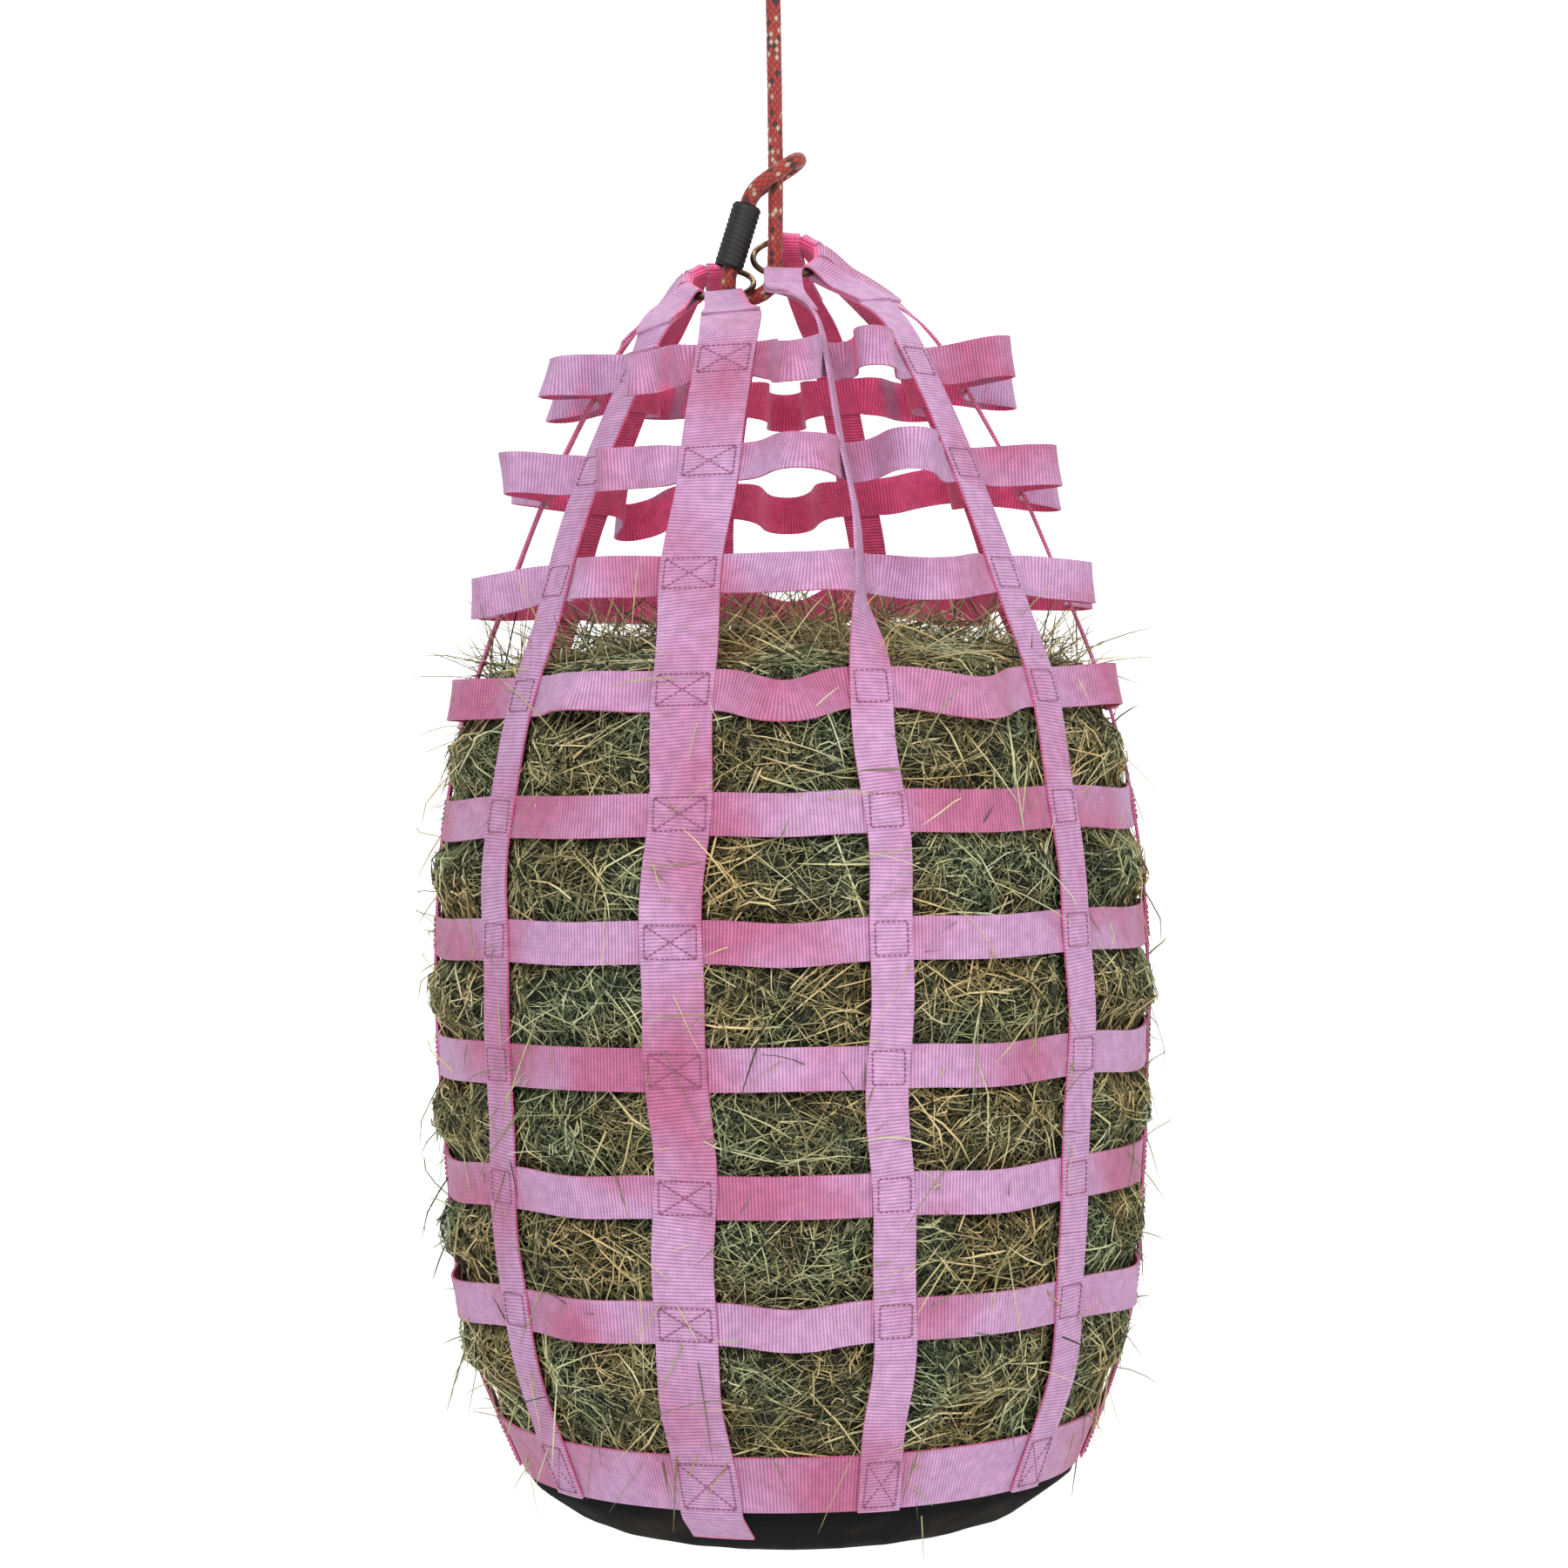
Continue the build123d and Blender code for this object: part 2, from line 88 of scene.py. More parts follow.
def travelled(line: Array) -> Array:
    """Distance along a line of points at each of them."""
    return np.concatenate([[0], np.cumsum(np.linalg.norm(np.diff(line, axis=0), axis=1))])


def deselect() -> None:
    """Clears the selection that operators act on."""
    if bpy.context.mode != "OBJECT":
        bpy.ops.object.mode_set(mode="OBJECT")
    bpy.ops.object.select_all(action="DESELECT")


def select_only(obj: bpy.types.Object) -> None:
    """Selects one object alone and makes it the active one."""
    deselect()
    obj.select_set(True)
    bpy.context.view_layer.objects.active = obj


def active(name: str) -> bpy.types.Object:
    """Names the object that an operator has just added, and returns it."""
    obj = bpy.context.object
    obj.name = name
    obj.data.name = name
    return obj


def apply_modifier(obj: bpy.types.Object, kind: str, **settings: object) -> None:
    """Adds one modifier to an object and applies it.

    Args:
        obj: the object.
        kind: the modifier's type.
        settings: its properties.
    """
    select_only(obj)
    modifier = obj.modifiers.new(kind.title(), kind)
    for key, value in settings.items():
        setattr(modifier, key, value)
    bpy.ops.object.modifier_apply(modifier=modifier.name)


def set_points(obj: bpy.types.Object, points: Array) -> None:
    """Moves every vertex of a mesh to the given points."""
    obj.data.vertices.foreach_set("co", np.ascontiguousarray(points, np.float32).ravel())
    obj.data.update()


def get_points(obj: bpy.types.Object) -> Array:
    """Reads every vertex of a mesh."""
    points = np.zeros(len(obj.data.vertices) * 3, np.float32)
    obj.data.vertices.foreach_get("co", points)
    return points.reshape(-1, 3).astype(float)


def point_normals(obj: bpy.types.Object) -> Array:
    """Reads every vertex normal of a mesh."""
    normals = np.zeros(len(obj.data.vertices) * 3, np.float32)
    obj.data.vertex_normals.foreach_get("vector", normals)
    return normals.reshape(-1, 3).astype(float)


def set_attribute(obj: bpy.types.Object, name: str, values: Array) -> None:
    """Stores one number per vertex under a name that materials read."""
    layer = obj.data.attributes.new(name, "FLOAT", "POINT")
    layer.data.foreach_set("value", np.ascontiguousarray(values, np.float32))


def grid(name: str, across: int, along: int) -> tuple[bpy.types.Object, Array, Array]:
    """Adds a flat grid to be laid along something.

    Args:
        name: the piece's name.
        across: faces across it.
        along: faces along it.

    Returns:
        The object, and each vertex's place across and along as whole numbers.
    """
    deselect()
    bpy.ops.mesh.primitive_grid_add(x_subdivisions=across, y_subdivisions=along, size=1)
    obj = active(name)
    flat = get_points(obj)
    column, row = (np.rint((flat[:, k] + 0.5) * n).astype(int) for k, n in enumerate((across, along)))
    return obj, column, row


def set_uv(obj: bpy.types.Object, u: Array, v: Array) -> None:
    """Writes a UV map from one pair of numbers per vertex."""
    loops = np.zeros(len(obj.data.loops), np.int32)
    obj.data.loops.foreach_get("vertex_index", loops)
    layer = obj.data.uv_layers.active or obj.data.uv_layers.new(name="UVMap")
    layer.data.foreach_set("uv", np.stack([u[loops], v[loops]], 1).astype(np.float32).ravel())


def mesh_of(name: str, points: Array, faces: Array) -> bpy.types.Object:
    """Makes a mesh object from arrays, for pieces with thousands of parts.

    Args:
        name: the piece's name.
        points: vertices, in metres.
        faces: rows of vertex numbers, all with as many corners.

    Returns:
        The new object, linked to the scene.
    """
    mesh = bpy.data.meshes.new(name)
    sides = faces.shape[1]
    mesh.vertices.add(len(points))
    mesh.vertices.foreach_set("co", np.ascontiguousarray(points, np.float32).ravel())
    mesh.loops.add(faces.size)
    mesh.loops.foreach_set("vertex_index", np.ascontiguousarray(faces, np.int32).ravel())
    mesh.polygons.add(len(faces))
    mesh.polygons.foreach_set("loop_start", np.arange(len(faces), dtype=np.int32) * sides)
    mesh.update(calc_edges=True)
    mesh.validate()
    obj = bpy.data.objects.new(name, mesh)
    bpy.context.scene.collection.objects.link(obj)
    return obj


def shade(obj: bpy.types.Object, degrees: float = 40) -> None:
    """Shades a piece smooth, apart from edges sharper than an angle."""
    select_only(obj)
    bpy.ops.object.shade_smooth_by_angle(angle=math.radians(degrees))


def weld(obj: bpy.types.Object) -> None:
    """Joins vertices that lie on each other, in edit mode, and turns the faces outwards."""
    select_only(obj)
    bpy.ops.object.mode_set(mode="EDIT")
    bpy.ops.mesh.select_all(action="SELECT")
    bpy.ops.mesh.remove_doubles(threshold=0.05 * MM)
    bpy.ops.mesh.normals_make_consistent(inside=False)
    bpy.ops.object.mode_set(mode="OBJECT")


def fix_normals(obj: bpy.types.Object, fill: bool = False) -> None:
    """Turns a closed mesh's faces outwards, once its open ends are closed if fill is set."""
    work = bmesh.new()
    work.from_mesh(obj.data)
    if fill:
        bmesh.ops.holes_fill(work, edges=[e for e in work.edges if e.is_boundary])
    bmesh.ops.recalc_face_normals(work, faces=work.faces)
    work.to_mesh(obj.data)
    work.free()


# --- finishes ---------------------------------------------------------------------------------------
class Slot(Enum):
    """The record's material slots."""

    WEBBING = "pink_webbing"
    FABRIC = "black_fabric"
    HAY = "hay"
    BRONZE = "bronzed_steel"
    ROPE = "red_rope"
    SLEEVE = "black_sleeve"
    PLATED = "plated_steel"


class Nodes:
    """A material's node tree with short calls to build it."""

    def __init__(self, name: str) -> None:
        """Starts a material with one Principled shader."""
        self.material = bpy.data.materials.new(name)
        self.material.use_nodes = True
        self.tree = self.material.node_tree
        self.shader = self.tree.nodes["Principled BSDF"]

    def add(self, kind: str, inputs: dict | None = None, **settings: object) -> bpy.types.Node:
        """Adds a node.

        Args:
            kind: the node's type without its ShaderNode prefix.
            inputs: values or sockets for its inputs, by name or number.
            settings: its properties.

        Returns:
            The node.
        """
        node = self.tree.nodes.new("ShaderNode" + kind)
        for key, value in settings.items():
            setattr(node, key, value)
        for key, value in (inputs or {}).items():
            self.put(node, key, value)
        return node

    def put(self, node: bpy.types.Node, key: str | int, value: object) -> None:
        """Links a socket to an input, or writes a plain value into it."""
        if isinstance(value, bpy.types.NodeSocket):
            self.tree.links.new(value, node.inputs[key])
        else:
            node.inputs[key].default_value = value

    def math(self, operation: str, a: object, b: object = 0.0, c: object = 0.0) -> bpy.types.NodeSocket:
        """One Math node's result."""
        return self.add("Math", {0: a, 1: b, 2: c}, operation=operation).outputs[0]

    def span(self, value: object, low: float, high: float, first: float = 0.0, last: float = 1.0) -> object:
        """A value carried from one span to another and clipped there."""
        return self.add("MapRange", {0: value, 1: low, 2: high, 3: first, 4: last}).outputs[0]

    def mix(self, share: object, a: object, b: object, blend: str = "MIX") -> bpy.types.NodeSocket:
        """One colour Mix node's result."""
        node = self.add("Mix", data_type="RGBA", blend_type=blend)
        self.put(node, 0, share)
        self.put(node, 6, a)
        self.put(node, 7, b)
        return node.outputs[2]

    def noise(self, place: object, scale: float, detail: float = 3.0) -> bpy.types.NodeSocket:
        """A noise value between 0 and 1."""
        return self.add("TexNoise", {"Vector": place, "Scale": scale, "Detail": detail}).outputs[0]

    def ramp(self, value: object, stops: list[tuple[float, tuple]]) -> bpy.types.NodeSocket:
        """A colour ramp through (place, colour) stops."""
        node = self.add("ValToRGB", {0: value})
        marks = node.color_ramp.elements
        while len(marks) < len(stops):
            marks.new(0.5)
        for mark, (place, colour) in zip(marks, stops):
            mark.position = place
            mark.color = (*colour, 1)
        return node.outputs[0]

    def wave(self, value: object, pitch: float) -> bpy.types.NodeSocket:
        """A sine between 0 and 1 with a pitch in metres."""
        turns = self.math("MULTIPLY", value, 2 * math.pi / pitch)
        return self.math("MULTIPLY_ADD", self.math("SINE", turns), 0.5, 0.5)

    def bump(self, height: object, strength: float, distance: float) -> None:
        """Bumps the shader by a height."""
        node = self.add("Bump", {"Height": height, "Strength": strength, "Distance": distance})
        self.put(self.shader, "Normal", node.outputs[0])

    def finish(self, **values: object) -> bpy.types.Material:
        """Writes the shader's own plain values and gives the material back."""
        for key, value in values.items():
            self.shader.inputs[key.replace("_", " ")].default_value = value
        return self.material


@dataclass(frozen=True)
class WebbingFinish:
    """Polypropylene webbing with fine ribs across it and a soft sheen; its colour carries painted rose shade,
    a painted glow on the face that looks into the bag and painted shade in the rib valleys.
    """

    # outside is the lit pink; shaded is painted rose shade, mixed in by patches of noise and by a per-vertex
    # shade attribute.
    outside: tuple = (0.53, 0.29, 0.49)
    shaded: tuple = (0.46, 0.13, 0.25)
    # inside is a painted glow of light shining through the webbing, for the face that looks into the bag.
    inside: tuple = (0.9, 0.11, 0.29)
    rib_pitch: float = 2.1 * MM
    column_pitch: float = 2.6 * MM

    def build(self) -> bpy.types.Material:
        """The material, which reads the strip's UV map in metres."""
        n = Nodes("pink_webbing")
        uv = n.add("UVMap", uv_map="UVMap").outputs[0]
        parts = n.add("SeparateXYZ", {0: uv})
        across, along = parts.outputs[0], parts.outputs[1]
        body = n.add("TexCoord").outputs["Object"]
        ribs = n.wave(along, self.rib_pitch)
        columns = n.wave(across, self.column_pitch)
        # Painted rose shade: big patches of noise and a per-vertex attribute pull the colour from the lit
        # pink towards the shaded rose.
        painted_shade_patches = n.noise(body, 9.0, 4.0)
        fine = n.noise(body, 160.0, 2.0)
        painted_rose_shade = n.add("Attribute", attribute_name="painted_rose_shade").outputs["Fac"]
        lit_share = n.math("SUBTRACT", n.math("MULTIPLY_ADD", painted_shade_patches, 4.2, -1.15), painted_rose_shade)
        outside = n.mix(n.span(lit_share, 0.0, 1.0), (*self.shaded, 1), (*self.outside, 1))
        # Painted glow: the face that looks into the bag turns hot pink as if lit through the webbing.
        painted_glow = n.add("Attribute", attribute_name="inner_painted_glow").outputs["Fac"]
        colour = n.mix(painted_glow, outside, (*self.inside, 1))
        grain = n.math("MULTIPLY", ribs, n.math("MULTIPLY_ADD", columns, 0.35, 0.65))
        # Painted shade: darker in the valleys between the ribs and the columns.
        colour = n.mix(1.0, colour, n.span(grain, 0.0, 0.6, 0.62, 1.08), "MULTIPLY")
        colour = n.mix(1.0, colour, n.span(fine, 0.35, 0.7, 0.86, 1.1), "MULTIPLY")
        n.put(n.shader, "Base Color", colour)
        n.bump(grain, 0.9, 0.5 * MM)
        return n.finish(Roughness=0.6, Sheen_Weight=0.12, Sheen_Roughness=0.4, Specular_IOR_Level=0.3)


@dataclass(frozen=True)
class ThreadFinish:
    """Sewing thread, a shade darker than the webbing."""

    colour: tuple = (0.27, 0.05, 0.15)

    def build(self) -> bpy.types.Material:
        """The material, with a twist along each stitch."""
        n = Nodes("thread")
        place = n.add("TexCoord").outputs["Object"]
        tone = n.span(n.noise(place, 900.0), 0.3, 0.7, 0.6, 1.1)
        n.put(n.shader, "Base Color", n.mix(1.0, (*self.colour, 1), tone, "MULTIPLY"))
        return n.finish(Roughness=0.5, Sheen_Weight=0.3)


@dataclass(frozen=True)
class FabricFinish:
    """Heavy black woven cloth of the base, dusted with hay."""

    colour: tuple = (0.004, 0.004, 0.004)
    dust: tuple = (0.022, 0.018, 0.012)
    pitch: float = 1.5 * MM

    def build(self) -> bpy.types.Material:
        """The material, on object coordinates."""
        n = Nodes("black_fabric")
        body = n.add("TexCoord").outputs["Object"]
        parts = n.add("SeparateXYZ", {0: body})
        weave = n.math("MULTIPLY", n.wave(parts.outputs[0], self.pitch), n.wave(parts.outputs[1], self.pitch))
        dusty = n.span(n.noise(body, 30.0, 6.0), 0.52, 0.75)
        n.put(n.shader, "Base Color", n.mix(dusty, (*self.colour, 1), (*self.dust, 1)))
        n.bump(weave, 0.5, 0.4 * MM)
        return n.finish(Roughness=0.95, Specular_IOR_Level=0.12)


@dataclass(frozen=True)
class HayFinish:
    """Dried grass: each stalk has a tone of its own, from olive brown to pale straw."""

    # The nearly black low end is the painted shade of the hay's heart; the stalks take tones all along the
    # scale.
    stops: tuple = (
        (0.0, (0.008, 0.009, 0.006)),
        (0.25, (0.05, 0.058, 0.034)),
        (0.5, (0.24, 0.235, 0.13)),
        (0.75, (0.55, 0.49, 0.29)),
        (1.0, (0.78, 0.7, 0.5)),
    )

    def build(self) -> bpy.types.Material:
        """The material, which reads the tone attribute."""
        n = Nodes("hay")
        body = n.add("TexCoord").outputs["Object"]
        tone = n.add("Attribute", attribute_name="tone").outputs["Fac"]
        tone = n.math("ADD", tone, n.span(n.noise(body, 260.0, 3.0), 0.2, 0.8, -0.1, 0.1))
        green = n.noise(body, 14.0, 3.0)
        colour = n.ramp(tone, list(self.stops))
        tint = n.mix(n.span(green, 0.38, 0.62), (1.0, 0.84, 0.62, 1), (0.84, 1.0, 0.9, 1))
        n.put(n.shader, "Base Color", n.mix(1.0, colour, tint, "MULTIPLY"))
        n.bump(n.noise(body, 700.0, 2.0), 0.4, 0.3 * MM)
        return n.finish(Roughness=0.7, Specular_IOR_Level=0.3)


@dataclass(frozen=True)
class RopeFinish:
    """Braided red rope with dark and beige tracer yarns, and painted shade in the grooves between the yarns.
    """

    red: tuple = (0.36, 0.026, 0.016)
    dark: tuple = (0.05, 0.01, 0.01)
    beige: tuple = (0.5, 0.34, 0.24)
    turns: float = 8.0
    pitch: float = 5.0 * MM

    def build(self) -> bpy.types.Material:
        """The material, on the tube's UV map: around in turns, along in metres."""
        n = Nodes("red_rope")
        parts = n.add("SeparateXYZ", {0: n.add("UVMap", uv_map="UVMap").outputs[0]})
        around = n.math("MULTIPLY", parts.outputs[0], self.turns)
        along = n.math("MULTIPLY", parts.outputs[1], 1 / self.pitch)
        one = n.math("FRACT", n.math("ADD", around, along))
        two = n.math("FRACT", n.math("SUBTRACT", around, along))
        cells = n.add("CombineXYZ", {0: n.math("FLOOR", n.math("ADD", around, along)),
                                     1: n.math("FLOOR", n.math("SUBTRACT", around, along))}).outputs[0]
        chance = n.add("TexWhiteNoise", {0: cells}, noise_dimensions="3D").outputs[0]
        swell = n.math("MULTIPLY", n.math("PINGPONG", one, 0.5), n.math("PINGPONG", two, 0.5))
        colour = n.ramp(chance, [(0.0, self.dark), (0.12, self.dark), (0.2, self.red), (0.88, self.red),
                                 (0.94, self.beige)])
        # Painted shade: darker in the grooves between the yarns.
        colour = n.mix(1.0, colour, n.span(swell, 0.0, 0.16, 0.45, 1.1), "MULTIPLY")
        n.put(n.shader, "Base Color", colour)
        n.bump(swell, 0.6, 0.8 * MM)
        return n.finish(Roughness=0.7, Sheen_Weight=0.25)


@dataclass(frozen=True)
class SleeveFinish:
    """Ribbed black plastic sleeve."""

    colour: tuple = (0.0035, 0.004, 0.004)

    def build(self) -> bpy.types.Material:
        """The material, with dust in its grooves."""
        n = Nodes("black_sleeve")
        body = n.add("TexCoord").outputs["Object"]
        dusty = n.span(n.noise(body, 120.0, 4.0), 0.5, 0.85, 0.0, 0.4)
        n.put(n.shader, "Base Color", n.mix(dusty, (*self.colour, 1), (0.03, 0.03, 0.028, 1)))
        n.bump(n.noise(body, 900.0, 2.0), 0.3, 0.2 * MM)
        return n.finish(Roughness=0.55)


@dataclass(frozen=True)
class MetalFinish:
    """Steel with a worn coat."""

    name: str
    colour: tuple
    worn: tuple
    roughness: float

    def build(self) -> bpy.types.Material:
        """The material, with wear and fine scratches."""
        n = Nodes(self.name)
        body = n.add("TexCoord").outputs["Object"]
        wear = n.span(n.noise(body, 140.0, 6.0), 0.5, 0.72)
        n.put(n.shader, "Base Color", n.mix(wear, (*self.colour, 1), (*self.worn, 1)))
        rough = n.span(n.noise(body, 420.0, 3.0), 0.0, 1.0, self.roughness - 0.08, self.roughness + 0.14)
        n.put(n.shader, "Roughness", rough)
        n.bump(n.noise(body, 800.0, 2.0), 0.15, 0.1 * MM)
        return n.finish(Metallic=1.0)


def dress(obj: bpy.types.Object, material: bpy.types.Material,
          body: str = NET) -> bpy.types.Object:
    """Gives a new piece its material and its body.

    Args:
        obj: the piece.
        material: its finish.
        body: the body that it rides on.

    Returns:
        The piece.
    """
    obj.data.materials.clear()
    obj.data.materials.append(material)
    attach(obj, body)
    return obj


# --- the bag's shape --------------------------------------------------------------------------------
@dataclass
class Sections:
    """A strip's cross sections: middles, directions along and across, and widths, all in metres."""

    middle: Array
    along: Array
    across: Array
    width: Array

    @property
    def outward(self) -> Array:
        """The strip's face direction at each section."""
        return np.cross(self.across, self.along)

    @property
    def travel(self) -> Array:
        """Distance along the strip at each section."""
        return travelled(self.middle)

    def refine(self, step: float) -> "Sections":
        """The same strip with sections about a step apart, along a smooth line."""
        travel = self.travel
        count = max(2, int(round(travel[-1] / step)))
        at = np.linspace(0, travel[-1], count + 1)
        slopes = self.along * np.gradient(travel, travel)[:, None]
        k = np.clip(np.searchsorted(travel, at, side="right") - 1, 0, len(travel) - 2)
        gap = (travel[k + 1] - travel[k])[:, None]
        s = (at[:, None] - travel[k][:, None]) / gap
        place = ((2 * s**3 - 3 * s**2 + 1) * self.middle[k] + (s**3 - 2 * s**2 + s) * gap * slopes[k]
                 + (3 * s**2 - 2 * s**3) * self.middle[k + 1] + (s**3 - s**2) * gap * slopes[k + 1])
        along = unit(np.gradient(place, axis=0))
        across = self.across[k] * (1 - s) + self.across[k + 1] * s
        across = unit(across - along * dot(across, along))
        width = np.interp(at, travel, self.width)
        return Sections(place, along, across, width)


@dataclass
class Bag:
    """The net's overall shape and the sizes that its webbing shares."""

    top: float = -0.655
    outline: tuple = ((176, -428), (207, -345), (219, -242), (224, -130), (217, -20), (200, 55), (174, 124),
                      (146, 192), (111, 258))
    web: float = 25.4 * MM
    wide: float = 38.0 * MM
    thick: float = 1.6 * MM
    gap: float = 0.45 * MM
    pitch: float = 73.9 * MM
    rows: int = 9
    angles: tuple = (-52.0, -17.5, 14.5, 49.0, 86.0, 123.0, 160.0, 197.0, 234.0, 271.0)
    wide_strap: int = 1
    table: Array = field(init=False)

    def __post_init__(self) -> None:
        """Runs a natural cubic through the outline and measures along it."""
        points = np.array(self.outline, float) * MM
        knots = travelled(points)
        count, gaps = len(points), np.diff(knots)
        system, right = np.eye(count), np.zeros((count, 2))
        for i in range(1, count - 1):
            system[i, i - 1 : i + 2] = gaps[i - 1], 2 * (gaps[i - 1] + gaps[i]), gaps[i]
            right[i] = 6 * ((points[i + 1] - points[i]) / gaps[i] - (points[i] - points[i - 1]) / gaps[i - 1])
        second = np.linalg.solve(system, right)
        at = np.linspace(0, knots[-1], 1200)
        k = np.clip(np.searchsorted(knots, at, side="right") - 1, 0, count - 2)
        a, b, h = (knots[k + 1] - at)[:, None], (at - knots[k])[:, None], gaps[k][:, None]
        line = ((second[k] * a**3 + second[k + 1] * b**3) / (6 * h) + (points[k] / h - second[k] * h / 6) * a
                + (points[k + 1] / h - second[k + 1] * h / 6) * b)
        travel = travelled(line)
        slope = unit(np.gradient(line, travel, axis=0))
        self.table = np.column_stack([travel, line[:, 0], line[:, 1] + self.top, slope])

    @property
    def length(self) -> float:
        """Length of the side from the band's lower edge to the first hoop."""
        return float(self.table[-1, 0])

    @property
    def row_places(self) -> list[float]:
        """The hoops' distances up the side, the highest first."""
        return [self.length - self.pitch * row for row in range(self.rows)]

    def wander(self, index: int, distance: float) -> float:
        """How far a strap strays sideways from its line where it runs up the side."""
        ease = float(smooth(distance / 0.08) * smooth((self.length - distance) / 0.15))
        long_wave = 2.2 * MM * ease * math.sin(distance * 27 + 2.1 * index)
        short_wave = 1.1 * MM * ease * math.sin(distance * 61 + index)
        return long_wave + short_wave

    def strap_width(self, index: int) -> float:
        """The width of one strap."""
        return self.wide if index == self.wide_strap else self.web

    def side(self, distance: Array) -> tuple[Array, Array, Array, Array]:
        """Radius, height and the slope's radial and upward parts at distances up the side."""
        low = np.minimum(distance, 0)
        over = np.maximum(np.asarray(distance, float) - self.length, 0)
        found = [np.interp(distance, self.table[:, 0], self.table[:, c]) for c in (1, 2, 3, 4)]
        return (found[0] + (low + over) * found[2], found[1] + (low + over) * found[3], found[2], found[3])

    @staticmethod
    def around(angle: Array) -> tuple[Array, Array]:
        """Radial and tangential directions at angles in degrees from the front towards +X."""
        a = np.radians(np.asarray(angle, float))
        zero = np.zeros_like(a)
        return np.stack([np.sin(a), -np.cos(a), zero], -1), np.stack([np.cos(a), np.sin(a), zero], -1)

    def on_side(self, distance: Array, angle: Array, out: Array = 0.0) -> tuple[Array, Array, Array]:
        """Points on the side, moved outwards, with their upward and outward directions."""
        radius, height, radial_part, up_part = self.side(distance)
        radial, _ = self.around(angle)
        up = radial * np.expand_dims(radial_part, -1) + UP * np.expand_dims(up_part, -1)
        outward = radial * np.expand_dims(up_part, -1) - UP * np.expand_dims(radial_part, -1)
        place = radial * np.expand_dims(radius, -1) + UP * np.expand_dims(height, -1)
        return place + outward * np.expand_dims(np.asarray(out, float), -1), up, outward


@dataclass
class NeckRing:
    """A steel ring that five straps are folded over."""

    node: str
    centre: tuple
    tilt: float
    side: int
    straps: tuple
    radius: float = 22 * MM
    slots: tuple = (-8.0, 52.0, 93.0, 134.0, 175.0)

    def wire_at(self, slot: float) -> tuple[Array, Array, Array]:
        """The wire's middle, its direction and the ring's outward direction at an angle from the front."""
        a, t = math.radians(slot), math.radians(self.tilt)
        right, back = np.array([1.0, 0, 0]), np.array([0, math.cos(t), math.sin(t)])
        out = right * (math.sin(a) * self.side) - back * math.cos(a)
        run = right * (math.cos(a) * self.side) + back * math.sin(a)
        return np.array(self.centre) + out * self.radius, run, out


RINGS = (
    NeckRing("right_ring", (0.006, 0, -0.319), 40.0, 1, (2, 3, 4, 5, 6)),
    NeckRing("left_ring", (-0.038, 0, -0.3349), 33.0, -1, (1, 0, 9, 8, 7)),
)


# --- webbing ----------------------------------------------------------------------------------------
@dataclass
class WebMaker:
    """Lays grids along sections and gives them thickness and a UV map in metres."""

    bag: Bag
    finish: bpy.types.Material
    across: int = 6
    # How much painted rose shade the strip gets.
    painted_rose_shade: float = 0.0

    def strip(self, name: str, sections: Sections, *nodes: str, closed: bool = False) -> bpy.types.Object:
        """Makes one strip of webbing.

        Args:
            name: the piece's name.
            sections: where it runs.
            nodes: the CAD nodes that it replaces.
            closed: whether its end meets its start; not used.

        Returns:
            The piece.
        """
        obj, j, i = grid(name, self.across, len(sections.middle) - 1)
        v = j / self.across * 2 - 1
        cup = 0.35 * MM * (1 - v**2) + 0.12 * MM * np.sin(sections.travel[i] / 0.013 + 2.0 * v)
        points = (sections.middle[i] + sections.across[i] * (v * sections.width[i] / 2)[:, None]
                  + sections.outward[i] * cup[:, None])
        set_points(obj, points)
        set_uv(obj, v * sections.width[i] / 2, sections.travel[i])
        apply_modifier(obj, "SOLIDIFY", thickness=self.bag.thick, offset=0.0, use_even_offset=False)
        self.mark_painted_glow(obj)
        # Painted rose shade, stronger and weaker in waves around the bag and up it.
        points = get_points(obj)
        around = np.arctan2(points[:, 0], -points[:, 1])
        drift = 0.35 * np.sin(5 * around + 40 * points[:, 2]) + 0.25 * np.sin(11 * around - 23 * points[:, 2])
        set_attribute(obj, "painted_rose_shade", self.painted_rose_shade + drift * min(1.0, self.painted_rose_shade * 4 + 0.2))
        shade(obj, 50)
        dress(obj, self.finish)
        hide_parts(*nodes)
        return obj

    @staticmethod
    def mark_painted_glow(obj: bpy.types.Object) -> None:
        """Marks the face of the webbing that looks into the bag, which is painted with a hot pink glow as if
        light shone through the webbing.
        """
        points, normals = get_points(obj), point_normals(obj)
        radial = unit(points * np.array([1.0, 1.0, 0.0]))
        into = -dot(normals, radial)[:, 0]
        set_attribute(obj, "inner_painted_glow", np.clip(into * 3 + 0.1, 0, 1))


